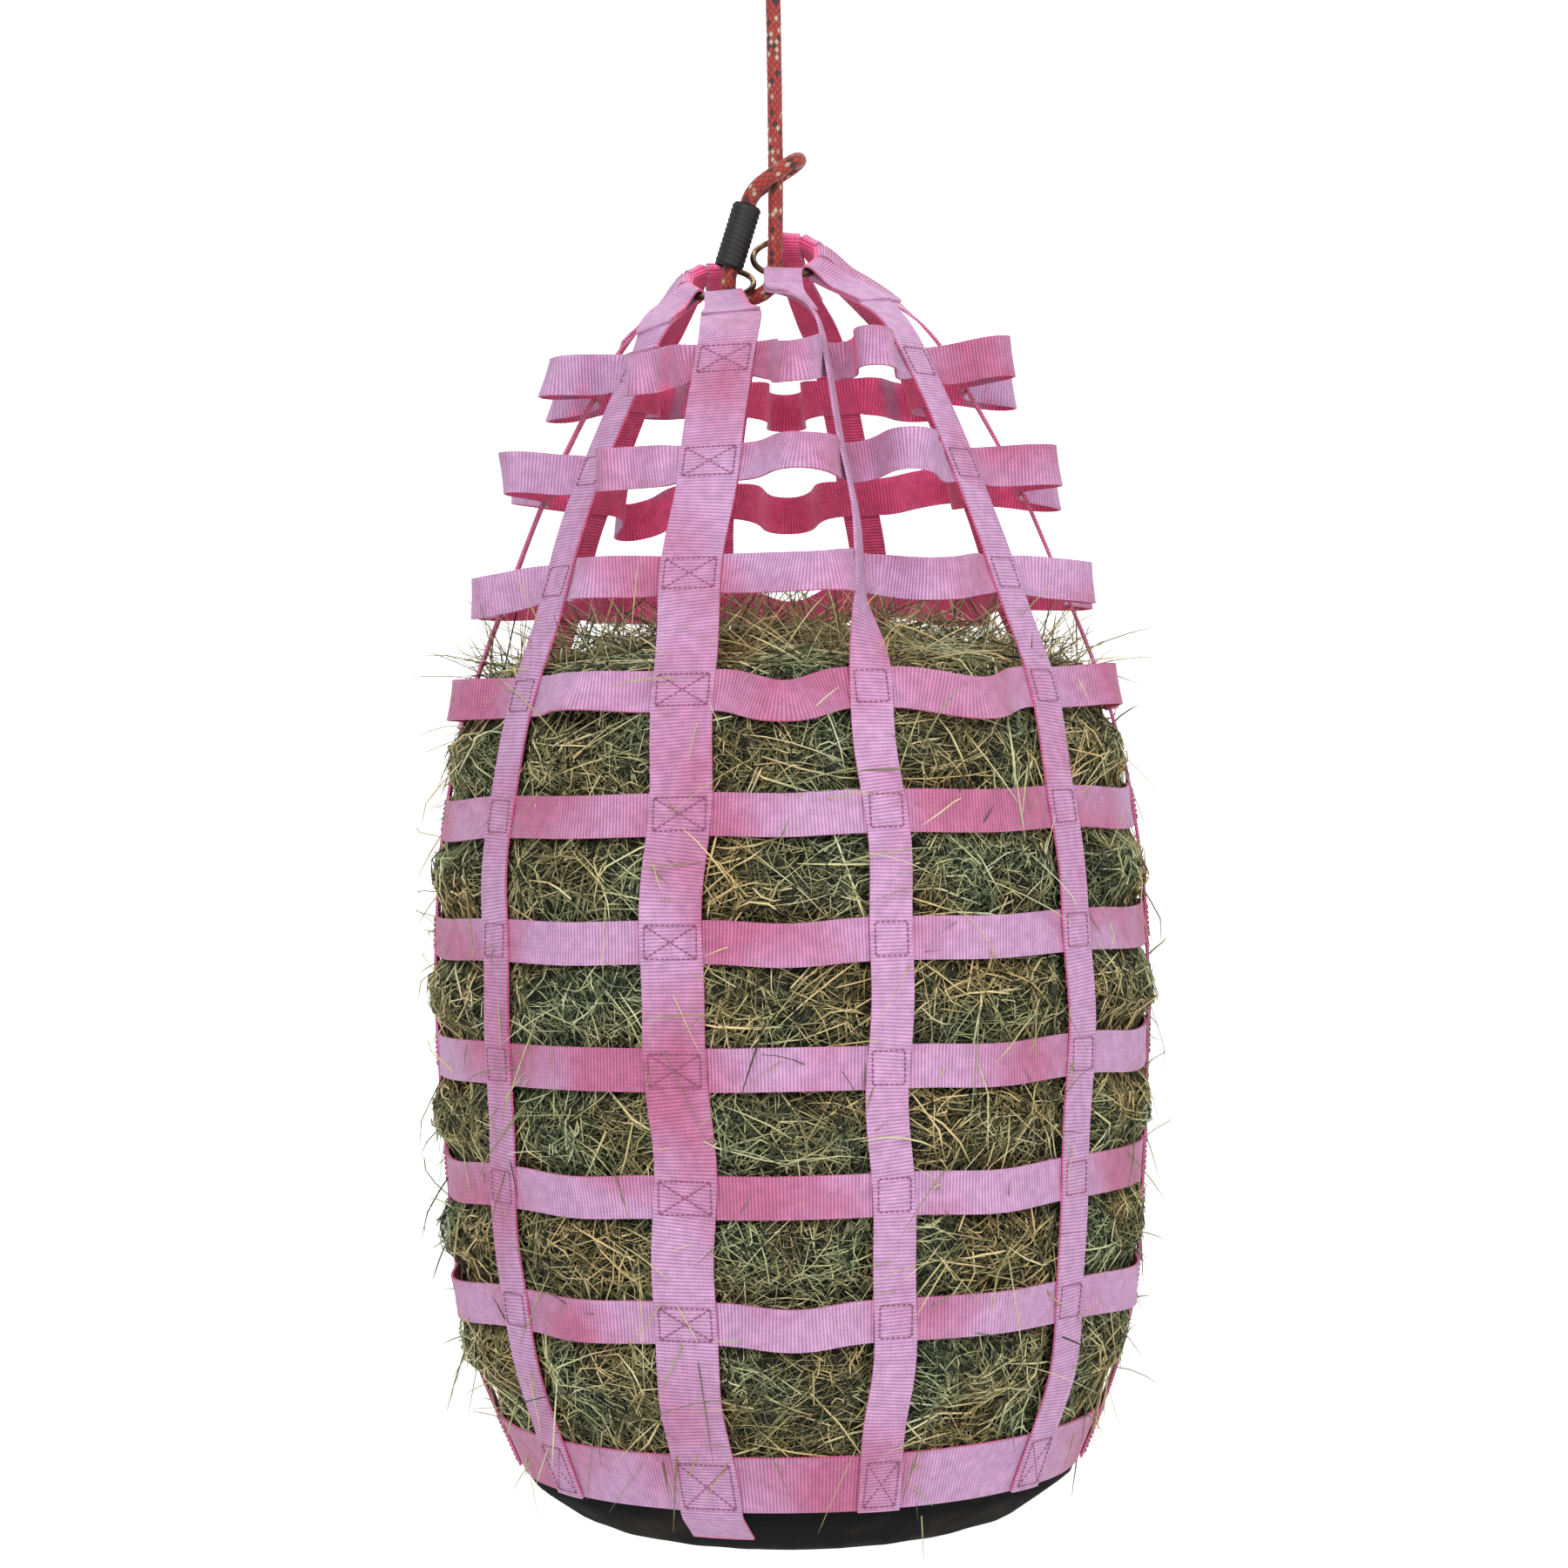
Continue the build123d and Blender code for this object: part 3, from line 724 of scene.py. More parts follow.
@dataclass
class Straps:
    """The ten upright straps, each folded over a ring and sewn down as a tab."""

    bag: Bag
    bearing: float = 4.4 * MM
    ring_web: float = 13 * MM
    front_web: float = 24 * MM
    tab: float = 60 * MM
    tail: float = 28 * MM
    base_slope: tuple = (36.0, 27.4)
    twisted: int = 2
    twist_row: int = 3
    twist_run: float = 70 * MM
    twist_turn: float = -66.0

    def twist(self, index: int, distance: float) -> float:
        """How far a strap is turned about its own line, in radians."""
        if index != self.twisted:
            return 0.0
        foot = self.bag.row_places[self.twist_row]
        return math.radians(self.twist_turn) * float(smooth((distance - foot) / self.twist_run))

    def sections(self, index: int) -> Sections:
        """Where one strap runs, from its foot to the end of its tab."""
        bag = self.bag
        angle, width = bag.angles[index], bag.strap_width(index)
        ring = RINGS[0] if index in RINGS[0].straps else RINGS[1]
        slot = ring.straps.index(index)
        top_width = self.ring_web if slot else self.front_web
        _, tangent = bag.around(angle)
        out = bag.thick + bag.gap
        rows: list[tuple] = []
        foot, up, outward = bag.on_side(0.0, angle, out)
        radial, _ = bag.around(angle)
        if index == bag.wide_strap:
            corner = foot - up * 1.5 * MM + outward * 1.0 * MM
            under = unit(-radial * self.base_slope[0] - np.array([0, 0, self.base_slope[1]]))
            rows.append((corner + under * self.tail, -under, tangent, width))
            rows.append((corner + under * 4 * MM, -under, tangent, width))
            rows.append((foot + up * 4 * MM, up, tangent, width))
        else:
            rows.append((foot, up, tangent, width))
        last = bag.length + bag.web / 2
        for distance in np.arange(12 * MM, last, 9 * MM):
            point, up, outward = bag.on_side(distance, angle, out)
            turn = self.twist(index, distance)
            side = tangent * math.cos(turn) + outward * math.sin(turn)
            rows.append((point + tangent * bag.wander(index, distance), up, side, width))
        point, up, outward = bag.on_side(last, angle, out)
        turn = self.twist(index, last)
        across = tangent * math.cos(turn) + outward * math.sin(turn)
        wire, run, ring_out = ring.wire_at(ring.slots[slot])
        wire = wire - ring_out * 1.0 * MM
        if run @ tangent < 0:
            run = -run
        down = unit(point - wire - run * ((point - wire) @ run))
        outside = -np.cross(run, down)
        outside = outside if outside @ outward > 0 else -outside
        start = wire - outside * self.bearing
        reach = float(np.linalg.norm(point - start))
        s = np.linspace(0, 1, 25)[:, None]
        line = (start * (2 * s**3 - 3 * s**2 + 1) + down * reach * (s**3 - 2 * s**2 + s)
                + point * (3 * s**2 - 2 * s**3) - up * reach * (s**3 - s**2))
        along = unit(np.gradient(line, axis=0))
        ease = s * s * (3 - 2 * s)
        side = run * (1 - ease) + across * ease
        side = unit(side - along * dot(side, along))
        wide = top_width + (width - top_width) * np.minimum(1, s[:, 0] * 1.6)
        for k in range(len(s) - 2, -1, -1):
            rows.append((line[k], -along[k], side[k], wide[k]))
        for a in np.linspace(0, math.pi, 11)[1:-1]:
            place = wire - outside * (self.bearing * math.cos(a)) - down * (self.bearing * math.sin(a))
            rows.append((place, outside * math.sin(a) - down * math.cos(a), run, top_width))
        gone = 0.0
        for k in range(len(s)):
            if k:
                gone += float(np.linalg.norm(line[k] - line[k - 1]))
            face = np.cross(along[k], side[k])
            face = face if face @ outside > 0 else -face
            spread = max(0.0, 1 - gone / (26 * MM))
            offset = out + (2 * self.bearing - out) * spread * spread * (3 - 2 * spread)
            if gone <= self.tab:
                rows.append((line[k] + face * offset, along[k], side[k], wide[k]))
        return Sections(*(np.array([row[k] for row in rows], float) for k in range(4)))


@dataclass
class Hoops:
    """The nine level hoops, which buckle outwards between the straps where the bag draws in."""

    bag: Bag
    straps: Straps
    length: float = 138 * MM
    flat: float = 2 * MM
    seed: int = 5

    def stretch(self, begin: Array, end: Array, start_way: Array, end_way: Array, length: float) -> tuple:
        """A free stretch of webbing between two sewn places.

        Args:
            begin: where it starts.
            end: where it ends.
            start_way: its direction at the start.
            end_way: its direction at the end.
            length: the webbing's own length between them.

        Returns:
            Points and directions along it.
        """
        chord = end - begin
        span = float(np.linalg.norm(chord))
        forward = chord / span
        outward = unit(np.cross(forward, UP))
        first = math.atan2(float(start_way @ outward), float(start_way @ forward))
        last = math.atan2(float(end_way @ outward), float(end_way @ forward))
        length = max(length, span * 1.02)
        at = (np.arange(96) + 0.5) / 96
        base = first * (1 - at) + last * at

        def miss(lean: float, swing: float) -> Array:
            phi = base + lean * np.sin(2 * np.pi * at) + swing * np.sin(np.pi * at)
            return np.array([np.cos(phi).mean() * length - span, np.sin(phi).mean() * length])

        x = np.array([1.2, 0.0])
        for _ in range(30):
            f = miss(*x)
            j = np.stack([(miss(x[0] + 1e-4, x[1]) - f) / 1e-4, (miss(x[0], x[1] + 1e-4) - f) / 1e-4], 1)
            x = x - np.clip(np.linalg.lstsq(j, f, rcond=None)[0], -0.3, 0.3)
            x[0] = max(x[0], 0.0)
        phi = base + x[0] * np.sin(2 * np.pi * at) + x[1] * np.sin(np.pi * at)
        ways = forward * np.cos(phi)[:, None] + outward * np.sin(phi)[:, None]
        points = begin + np.cumsum(ways, axis=0) * (length / 96)
        points += (end - points[-1]) * at[:, None]
        keep = np.arange(3, 94, 5)
        return points[keep], ways[keep], x[0]

    def sections(self, row: int) -> Sections:
        """Where one hoop runs: round from the closing strap and back to it."""
        bag, rng = self.bag, np.random.default_rng(self.seed + row)
        distance = bag.row_places[row]
        radius, height, radial_part, up_part = (float(x) for x in bag.side(distance))
        low = np.array([0, 0, height])
        count, rows = len(bag.angles), []

        def flat_at(index: int, shift: float) -> tuple[Array, Array, Array]:
            angle = bag.angles[index]
            out, run = bag.around(angle)
            turn = self.straps.twist(index, distance)
            run = run * math.cos(turn) + out * math.sin(turn)
            return out * radius + run * shift + low, run, out

        for number in range(count):
            one, two = (bag.wide_strap + number) % count, (bag.wide_strap + number + 1) % count
            gap = (bag.angles[two] - bag.angles[one]) % 360
            flats = [bag.strap_width(k) / 2 + self.flat for k in (one, two)]
            if number:
                place, run, out = flat_at(one, -flats[0])
            else:
                place, run, out = flat_at(one, self.flat)
            rows.append((place, run, out, 0.0, 0.0))
            begin, run, out = flat_at(one, flats[0])
            rows.append((begin, run, out, 0.0, 0.0))
            end, end_run, _ = flat_at(two, -flats[1])
            own = self.length * gap / 36 - sum(flats)
            points, ways, lean = self.stretch(begin, end, run, end_run, own)
            middle = unit(np.cross(unit(end - begin), UP))
            loose = min(1.0, lean / 1.2)
            rise = rng.normal(0, 6 * MM) * loose + rng.normal(-1.2 * MM, 1.2 * MM)
            roll = rng.normal(-0.1, 0.26) * loose + rng.normal(0, 0.07)
            for k in range(len(points)):
                share = (k + 1) / (len(points) + 1)
                bell = math.sin(math.pi * share)
                rows.append((points[k] + np.array([0, 0, rise * bell * bell]), ways[k], middle, bell * loose,
                             roll * bell))
        place, run, out = flat_at(bag.wide_strap, -(bag.wide / 2 + self.flat))
        rows.append((place, run, out, 0.0, 0.0))
        place, run, out = flat_at(bag.wide_strap, -self.flat)
        rows.append((place, run, out, 0.0, 0.0))
        middle = np.array([r[0] for r in rows])
        along = unit(np.array([r[1] for r in rows]))
        out = np.array([r[2] for r in rows])
        away = np.array([r[3] for r in rows])[:, None]
        roll = np.array([r[4] for r in rows])[:, None]
        tilted = out * (radial_part * (1 - away) + np.sin(roll)) + UP * (
            up_part + (1 - up_part) * away)
        across = unit(tilted - along * dot(tilted, along))
        return Sections(middle, along, across, np.full(len(middle), bag.web))


@dataclass
class Stitching:
    """Rows of thread sewn through the webbing, as one mesh for each strap."""

    bag: Bag
    finish: bpy.types.Material
    pitch: float = 3.2 * MM
    thread: float = 0.55 * MM
    points: list = field(default_factory=list)
    ways: list = field(default_factory=list)
    faces: list = field(default_factory=list)

    def line(self, start: Array, end: Array, face: Array) -> None:
        """Adds a straight row of stitches on a face of the webbing."""
        length = float(np.linalg.norm(end - start))
        count = max(1, int(round(length / self.pitch)))
        way = unit(end - start)
        for k in range(count):
            self.points.append(start + way * (length * (k + 0.5) / count))
            self.ways.append(way)
            self.faces.append(face)

    def build(self, name: str) -> bpy.types.Object:
        """Makes the stitches gathered so far into one piece and starts afresh."""
        middle, way, face = np.array(self.points), np.array(self.ways), np.array(self.faces)
        side = np.cross(way, face)
        half = self.pitch * 0.42
        rings = ((-half, 0.25, -0.35), (-half * 0.6, 0.9, 0.35), (half * 0.6, 0.9, 0.35), (half, 0.25, -0.35))
        corners = []
        for along, size, lift in rings:
            for turn in range(5):
                a = 2 * math.pi * turn / 5
                corners.append(middle + way * along + side * (math.cos(a) * size * self.thread)
                               + face * ((math.sin(a) * size + lift) * self.thread))
        points = np.stack(corners, 1)
        quads = []
        for ring in range(3):
            for turn in range(5):
                a, b = ring * 5 + turn, ring * 5 + (turn + 1) % 5
                quads.append((a, b, b + 5, a + 5))
        tris = [(0, 4, 3), (0, 3, 2), (0, 2, 1), (15, 16, 17), (15, 17, 18), (15, 18, 19)]
        tris += [(a, b, c) for a, b, c, _ in quads] + [(a, c, d) for a, _, c, d in quads]
        tris = np.array(tris)
        faces = (tris[None] + (np.arange(len(middle)) * 20)[:, None, None]).reshape(-1, 3)
        obj = mesh_of(name, points.reshape(-1, 3), faces)
        fix_normals(obj)
        shade(obj, 60)
        dress(obj, self.finish)
        self.points, self.ways, self.faces = [], [], []
        return obj


@dataclass
class Netting:
    """All of the sewn webbing: hoops, bottom band, straps and their stitching."""

    bag: Bag
    web: bpy.types.Material
    thread: bpy.types.Material
    sewn_turn: float = 0.2
    margin: float = 3 * MM

    def band_sections(self) -> Sections:
        """Where the wide bottom band runs."""
        bag = self.bag
        start = bag.angles[bag.wide_strap] + 0.4
        angle = np.linspace(start, start + 359.2, 150)
        middle, up, _ = bag.on_side(np.full(angle.shape, bag.wide / 2), angle)
        _, tangent = bag.around(angle)
        return Sections(middle, tangent, up, np.full(len(angle), bag.wide))

    def build(self) -> None:
        """Makes every strip and sews the crossings."""
        bag = self.bag
        # The band and the hoops carry painted rose shade, the straps none.
        maker, straps = WebMaker(bag, self.web, painted_rose_shade=0.32), Straps(bag)
        hoops = Hoops(bag, straps)
        maker.strip("bottom_band", self.band_sections(), "base_band")
        for row in range(bag.rows):
            maker.strip(f"hoop_web_{row + 1}", hoops.sections(row).refine(5 * MM), f"hoop_{row + 1}")
            LOG.info("hoop %d", row + 1)
        maker.painted_rose_shade = 0.0
        for index in range(len(bag.angles)):
            sections = straps.sections(index).refine(4 * MM)
            maker.strip(f"strap_web_{index + 1:02d}", sections, f"strap_{index + 1:02d}")
            self.sew(index, straps)
            LOG.info("strap %d", index + 1)

    def sew(self, index: int, straps: Straps) -> None:
        """Sews one strap to the hoops and the band with a stitched box at each crossing."""
        bag = self.bag
        sewing = Stitching(bag, self.thread)
        _, tangent = bag.around(bag.angles[index])
        lift = 1.5 * bag.thick + bag.gap + 0.25 * MM
        half_w = bag.strap_width(index) / 2 - self.margin
        places = [(distance, bag.web / 2 - self.margin) for distance in bag.row_places] + [
            (bag.wide / 2, bag.wide / 2 - 3.5 * MM)]
        for distance, half_h in places:
            if abs(straps.twist(index, distance)) > self.sewn_turn:
                continue
            point, up, outward = bag.on_side(distance, bag.angles[index], lift)
            point = point + tangent * bag.wander(index, distance)
            corner = {(x, y): point + tangent * (x * half_w) + up * (y * half_h)
                      for x in (-1, 1) for y in (-1, 1)}
            for a, b in (((-1, -1), (1, -1)), ((1, -1), (1, 1)), ((1, 1), (-1, 1)), ((-1, 1), (-1, -1))):
                sewing.line(corner[a], corner[b], outward)
            if index == bag.wide_strap or distance == bag.wide / 2:
                sewing.line(corner[-1, -1], corner[1, 1], outward)
                sewing.line(corner[-1, 1], corner[1, -1], outward)
        sewing.build(f"stitching_{index + 1:02d}")


# --- base -------------------------------------------------------------------------------------------
@dataclass
class Base:
    """The black fabric bottom, sewn inside the band and sagging under the hay."""

    bag: Bag
    finish: bpy.types.Material
    flat: float = 104 * MM
    tuck: float = 9 * MM
    seam_drop: float = 1.5 * MM
    allowance: float = 14 * MM
    around: int = 144
    rings: int = 28

    def build(self) -> bpy.types.Object:
        """Makes the panel as one sheet with soft puckers near its seam."""
        box_low, box_high = (np.array(c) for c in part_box("base_panel"))
        rim, low_z = float(box_high[0]), float(box_low[2])
        seam_z = float(self.bag.side(0.0)[1])
        places = np.array([0.0, 0.5, self.flat / rim, 0.72, 0.8, 0.84, 0.93, 0.985, 1.0])
        obj, j, i = grid("base_cloth", self.rings, self.around)
        share = j / self.rings
        angle = i / self.around * 2 * np.pi
        radius = share * rim
        fall = np.interp(share, places, np.array([1, 1, 0.985, 0.83, 0.7, 0.565, 0.25, 0.03, 0.0]))
        height = seam_z - self.seam_drop - fall * (seam_z - self.seam_drop - low_z)
        rise = smooth((share - 0.975) / 0.025)
        height = height + rise * (self.tuck + self.seam_drop)
        pucker = np.sin(angle * 23 + 2 * np.sin(angle * 3)) * smooth((share - 0.6) / 0.3) * (1 - rise)
        height = height + 0.7 * MM * pucker
        points = np.stack([radius * np.sin(angle), -radius * np.cos(angle), height], 1)
        points[share == 0] = np.array([0, 0, low_z])
        set_points(obj, points)
        weld(obj)
        apply_modifier(obj, "SOLIDIFY", thickness=1.2 * MM, offset=0.0)
        shade(obj, 60)
        dress(obj, self.finish)
        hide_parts("base_panel")
        return obj


# --- hay --------------------------------------------------------------------------------------------
@dataclass
class Hay:
    """Loose hay that fills the bag: a heart in painted shade, nearly black, under thousands of stalks."""

    bag: Bag
    finish: bpy.types.Material
    bulge: float = 13 * MM
    top: float = 100 * MM
    shoulder: float = 28 * MM
    seed: int = 11
    stalks: int = 62000
    pieces: int = 10
    pale: int = 900
    loose: int = 2400
    upright: int = 2600
    inset: float = 1.6 * MM + 2.0 * MM
    edge_run: float = 16 * MM
    stray_limit: float = 0.2265 + 12 * MM
    floor_share: float = 0.16

    def edge_place(self) -> float:
        """How far up the side the hay reaches."""
        edge_z = self.bag.top + self.top - self.shoulder
        return float(np.interp(edge_z, self.bag.table[:, 2], self.bag.table[:, 0]))

    def surface(self, angle: Array, distance: Array, depth: Array) -> tuple[Array, Array]:
        """Points on the hay's skin, which swells out in each window of the net.

        Args:
            angle: degrees from the front towards +X.
            distance: metres up the side; past the edge it runs on over the heap.
            depth: how deep under the skin, in metres.

        Returns:
            Points, and the directions out of the hay.
        """
        bag, edge = self.bag, self.edge_place()
        angles = np.sort(np.mod(np.array(bag.angles), 360))
        wrapped = np.mod(angle, 360)
        k = np.searchsorted(angles, wrapped) % len(angles)
        right, left = angles[k], angles[k - 1]
        gap = np.mod(right - left, 360)
        share = np.mod(wrapped - left, 360) / gap
        rows = np.mod((bag.length - distance) / bag.pitch, 1.0)
        half = np.radians(gap) * np.maximum(bag.side(np.minimum(distance, edge))[0], 0.05) / 2
        from_strap = np.minimum(share, 1 - share) * 2 * half - bag.web / 2
        from_hoop = np.minimum(rows, 1 - rows) * bag.pitch - bag.web / 2
        window = smooth(from_strap / self.edge_run) * smooth(from_hoop / self.edge_run)
        uneven = (0.72 + 0.3 * np.sin(wrapped * 0.19 + distance * 31) * np.sin(distance * 47 - wrapped * 0.11)
                  + 0.16 * np.sin(wrapped * 0.83 + distance * 90))
        swell = self.bulge * uneven * window
        swell = swell * smooth((edge - distance) / 0.05) * smooth((distance - 0.03) / 0.04)
        on, _, out = bag.on_side(np.minimum(distance, edge), angle, swell - self.inset - depth)
        over = np.maximum(distance - edge, 0)
        radius_edge = float(bag.side(edge)[0]) - self.inset
        top_share = np.clip(over / radius_edge, 0, 1)
        radial, _ = bag.around(angle)
        lift = self.shoulder * np.sin(top_share * np.pi / 2) ** 1.2
        heap = (radial * (radius_edge * (1 - top_share))[:, None]
                + UP * (bag.top + self.top - self.shoulder + lift - depth)[:, None])
        over_mask = (distance > edge)[:, None]
        blend = smooth(over / 0.03)[:, None]
        normal = unit(out * (1 - blend) + UP * blend)
        return np.where(over_mask, heap, on), normal

    def heart(self) -> bpy.types.Object:
        """The middle, painted nearly black as the shade that shows between the stalks."""
        deselect()
        bpy.ops.mesh.primitive_uv_sphere_add(segments=180, ring_count=150, radius=1)
        obj = active("hay_heart_painted_shade")
        unit_points = get_points(obj)
        angle = np.degrees(np.arctan2(unit_points[:, 0], -unit_points[:, 1]))
        polar = np.arccos(np.clip(-unit_points[:, 2], -1, 1)) / np.pi
        edge = self.edge_place()
        radius_edge = float(self.bag.side(edge)[0])
        low = self.floor_share
        distance = (polar - low) / (1 - low) * (edge + radius_edge)
        points, _ = self.surface(angle, np.maximum(distance, 0), np.full(len(angle), 5 * MM))
        ripple = np.sin(points[:, 0] * 160) * np.sin(points[:, 1] * 150) * np.sin(points[:, 2] * 170)
        bottom = polar < low
        share = np.clip(polar / low, 0, 1)
        radial, _ = self.bag.around(angle)
        rim = float(self.bag.side(0.0)[0]) - 8 * MM
        floor_z = float(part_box("base_panel")[0][2]) + 3 * MM
        seam_z = float(self.bag.side(0.0)[1])
        height = np.interp(share, [0, 0.55, 0.75, 0.9, 1.0], [floor_z, floor_z + 1 * MM, floor_z + 9 * MM,
                                                         floor_z + 22 * MM, seam_z + 2 * MM])
        under = radial * (rim * share)[:, None] + UP * height[:, None]
        points = np.where(bottom[:, None], under, points)
        points += unit(points - np.array([0, 0, points[:, 2].mean()])) * (
            np.where(bottom, 0, ripple * 2.5 * MM))[:, None]
        set_points(obj, points)
        # A tone at the ramp's nearly black end: painted shade.
        set_attribute(obj, "tone", 0.05 + 0.05 * ripple)
        shade(obj, 80)
        dress(obj, self.finish)
        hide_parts("hay_fill")
        return obj

    def strands(self, name: str, lines: Array, width: Array, flat: Array, tone: Array) -> bpy.types.Object:
        """Makes many stalks as one mesh.

        Args:
            name: the piece's name.
            lines: points along each stalk, shaped (stalks, places, 3).
            width: each stalk's half width.
            flat: each stalk's thickness as a share of its width.
            tone: each stalk's place on the colour scale.

        Returns:
            The piece.
        """
        count, places, _ = lines.shape
        along = unit(np.gradient(lines, axis=1))
        side = unit(np.cross(along, np.array([0.31, 0.22, 0.93])))
        other = np.cross(along, side)
        taper = np.interp(np.linspace(0, 1, places), [0, 0.1, 0.8, 1], [0.75, 1, 0.8, 0.3])
        rings = []
        for turn in range(3):
            a = 2 * math.pi * turn / 3
            rings.append(lines + side * (math.cos(a) * width[:, None] * taper)[..., None]
                         + other * (math.sin(a) * (width * flat)[:, None] * taper)[..., None])
        points = np.stack(rings, 2).reshape(count, places * 3, 3)
        faces = []
        for ring in range(places - 1):
            for turn in range(3):
                a, b = ring * 3 + turn, ring * 3 + (turn + 1) % 3
                faces += [(a, b, b + 3), (a, b + 3, a + 3)]
        end = (places - 1) * 3
        faces += [(0, 2, 1), (end, end + 1, end + 2)]
        faces = (np.array(faces)[None] + (np.arange(count) * places * 3)[:, None, None]).reshape(-1, 3)
        obj = mesh_of(name, points.reshape(-1, 3), faces)
        set_attribute(obj, "tone", np.repeat(tone, places * 3))
        obj.data.polygons.foreach_set("use_smooth", np.ones(len(faces), bool))
        dress(obj, self.finish)
        return obj

    def lay(self, rng: np.random.Generator, count: int, length: Array, depth: tuple, curl: float,
            low: float = 0.02, high: float | None = None, level: float = 0.5) -> Array:
        """Lays stalks over the hay's skin.

        Args:
            rng: the source of chance.
            count: how many.
            length: each stalk's length.
            depth: the least and most depth under the skin.
            curl: how much a stalk bends.
            low: the lowest place up the side.
            high: the highest place, or the heap's middle.
            level: how strongly stalks lie level, 0 for any way.

        Returns:
            Points along each stalk.
        """
        edge = self.edge_place()
        high = edge + float(self.bag.side(edge)[0]) * 0.97 if high is None else high
        d0 = low + (high - low) * rng.random(count)
        over = np.clip((d0 - edge) / float(self.bag.side(edge)[0]), 0, 1)
        keep = rng.random(count) < 1.02 - over
        d0 = np.where(keep, d0, low + (edge - low) * rng.random(count))
        a0 = rng.random(count) * 360
        way = rng.normal(0, 1.0 - level * 0.45, count) * 1.1 + np.pi * (rng.random(count) < 0.5)
        bend = rng.normal(0, curl, count)
        places = 4
        t = np.linspace(-0.5, 0.5, places)
        radius = np.maximum(self.bag.side(np.minimum(d0, edge))[0], 0.05)
        heading = way[:, None] + bend[:, None] * t
        run = np.cos(heading) * (length[:, None] * t)
        rise = np.sin(heading) * (length[:, None] * t)
        shrink = np.maximum(1 - np.clip((d0 - edge) / radius, 0, 1), 0.12)
        angle = a0[:, None] + np.degrees(run / (radius * shrink)[:, None])
        distance = np.clip(d0[:, None] + rise, low * 0.6, edge + radius[:, None] * 0.99)
        start, end = rng.uniform(*depth, count), rng.uniform(*depth, count)
        deep = start[:, None] * (0.5 - t) + end[:, None] * (0.5 + t)
        points, _ = self.surface(angle.ravel(), distance.ravel(), deep.ravel())
        return points.reshape(count, places, 3)

    def strays(self, rng: np.random.Generator) -> None:
        """Loose stalks that stick out of the windows and lie over the webbing."""
        count = self.loose
        length = 0.012 + 0.06 * rng.random(count) ** 2.2
        angle = rng.random(count) * 360
        edge = self.edge_place()
        distance = rng.uniform(0.03, edge, count)
        base, normal = self.surface(angle, distance, np.full(count, 3 * MM))
        _, tangent = self.bag.around(angle)
        up = np.cross(normal, tangent)
        out_part = rng.uniform(0.05, 0.4, count)[:, None]
        side_part = rng.normal(0, 1, count)[:, None]
        up_part = rng.normal(-0.25, 0.7, count)[:, None]
        way = unit(normal * out_part + tangent * side_part + up * up_part)
        t = np.linspace(0, 1, 5)[None, :, None]
        lines = base[:, None] + way[:, None] * (length[:, None, None] * t)
        sag = (length**2 * rng.uniform(0.5, 2.2, count) * 2.2)[:, None] * t[..., 0] ** 2
        lines[..., 2] -= sag
        radius = np.linalg.norm(lines[..., :2], axis=2, keepdims=True)
        lines[..., :2] *= np.minimum(1, self.stray_limit / np.maximum(radius, 1e-6))
        tone = np.clip(rng.normal(0.62, 0.2, count), 0.1, 1)
        width = rng.uniform(0.35, 0.8, count) * MM
        self.strands("loose_stalks", lines, width, rng.uniform(0.4, 1, count), tone)

    def build(self) -> None:
        """Makes the heart, the stalks over it and the loose ones."""
        self.heart()
        rng = np.random.default_rng(self.seed)
        share = 1.0
        each = int(self.stalks * share) // self.pieces
        for piece in range(self.pieces):
            length = rng.uniform(0.012, 0.055, each)
            lines = self.lay(rng, each, length, (-1.2 * MM, 6 * MM), 1.1, level=0.35)
            tone = np.clip(rng.normal(0.46, 0.29, each), 0.0, 1)
            width = rng.uniform(0.3, 0.85, each) * MM
            self.strands(f"hay_stalks_{piece + 1}", lines, width, rng.uniform(0.3, 1, each), tone)
            LOG.info("hay stalks %d", piece + 1)
        pale = self.pale
        lines = self.lay(rng, pale, rng.uniform(0.03, 0.1, pale), (-2.5 * MM, 1 * MM), 0.35, level=0.6)
        self.strands("pale_stalks", lines, rng.uniform(0.5, 1.0, pale) * MM, np.full(pale, 0.9),
                     rng.uniform(0.7, 1.0, pale))
        self.strays(rng)
        self.tousle(rng)

    def tousle(self, rng: np.random.Generator) -> None:
        """Stalks that stand up untidily from the heap between the open upper hoops."""
        count = self.upright
        reach = float(self.bag.side(self.edge_place())[0]) * 0.95
        angle, out = rng.random(count) * 360, np.sqrt(rng.random(count)) * reach
        distance = self.edge_place() + reach - out
        base, _ = self.surface(angle, distance, np.full(count, 4 * MM))
        length = rng.uniform(0.02, 0.08, count)
        tilt = rng.normal(0, 1.0, (count, 2))
        way = unit(np.column_stack([tilt, rng.uniform(0.05, 1.0, count)]))
        inward = -base * np.array([1, 1, 0]) * (out / reach)[:, None] ** 2
        way = unit(way + unit(inward) * 0.5 * (out / reach)[:, None] ** 3)
        t = np.linspace(0, 1, 5)[None, :, None]
        lines = base[:, None] + way[:, None] * (length[:, None, None] * t)
        lines[..., 2] -= (length**2 * rng.uniform(1.0, 5.0, count))[:, None] * t[..., 0] ** 2
        self.strands("heap_stalks", lines, rng.uniform(0.3, 0.8, count) * MM, rng.uniform(0.4, 1, count),
                     np.clip(rng.normal(0.55, 0.22, count), 0.08, 1))


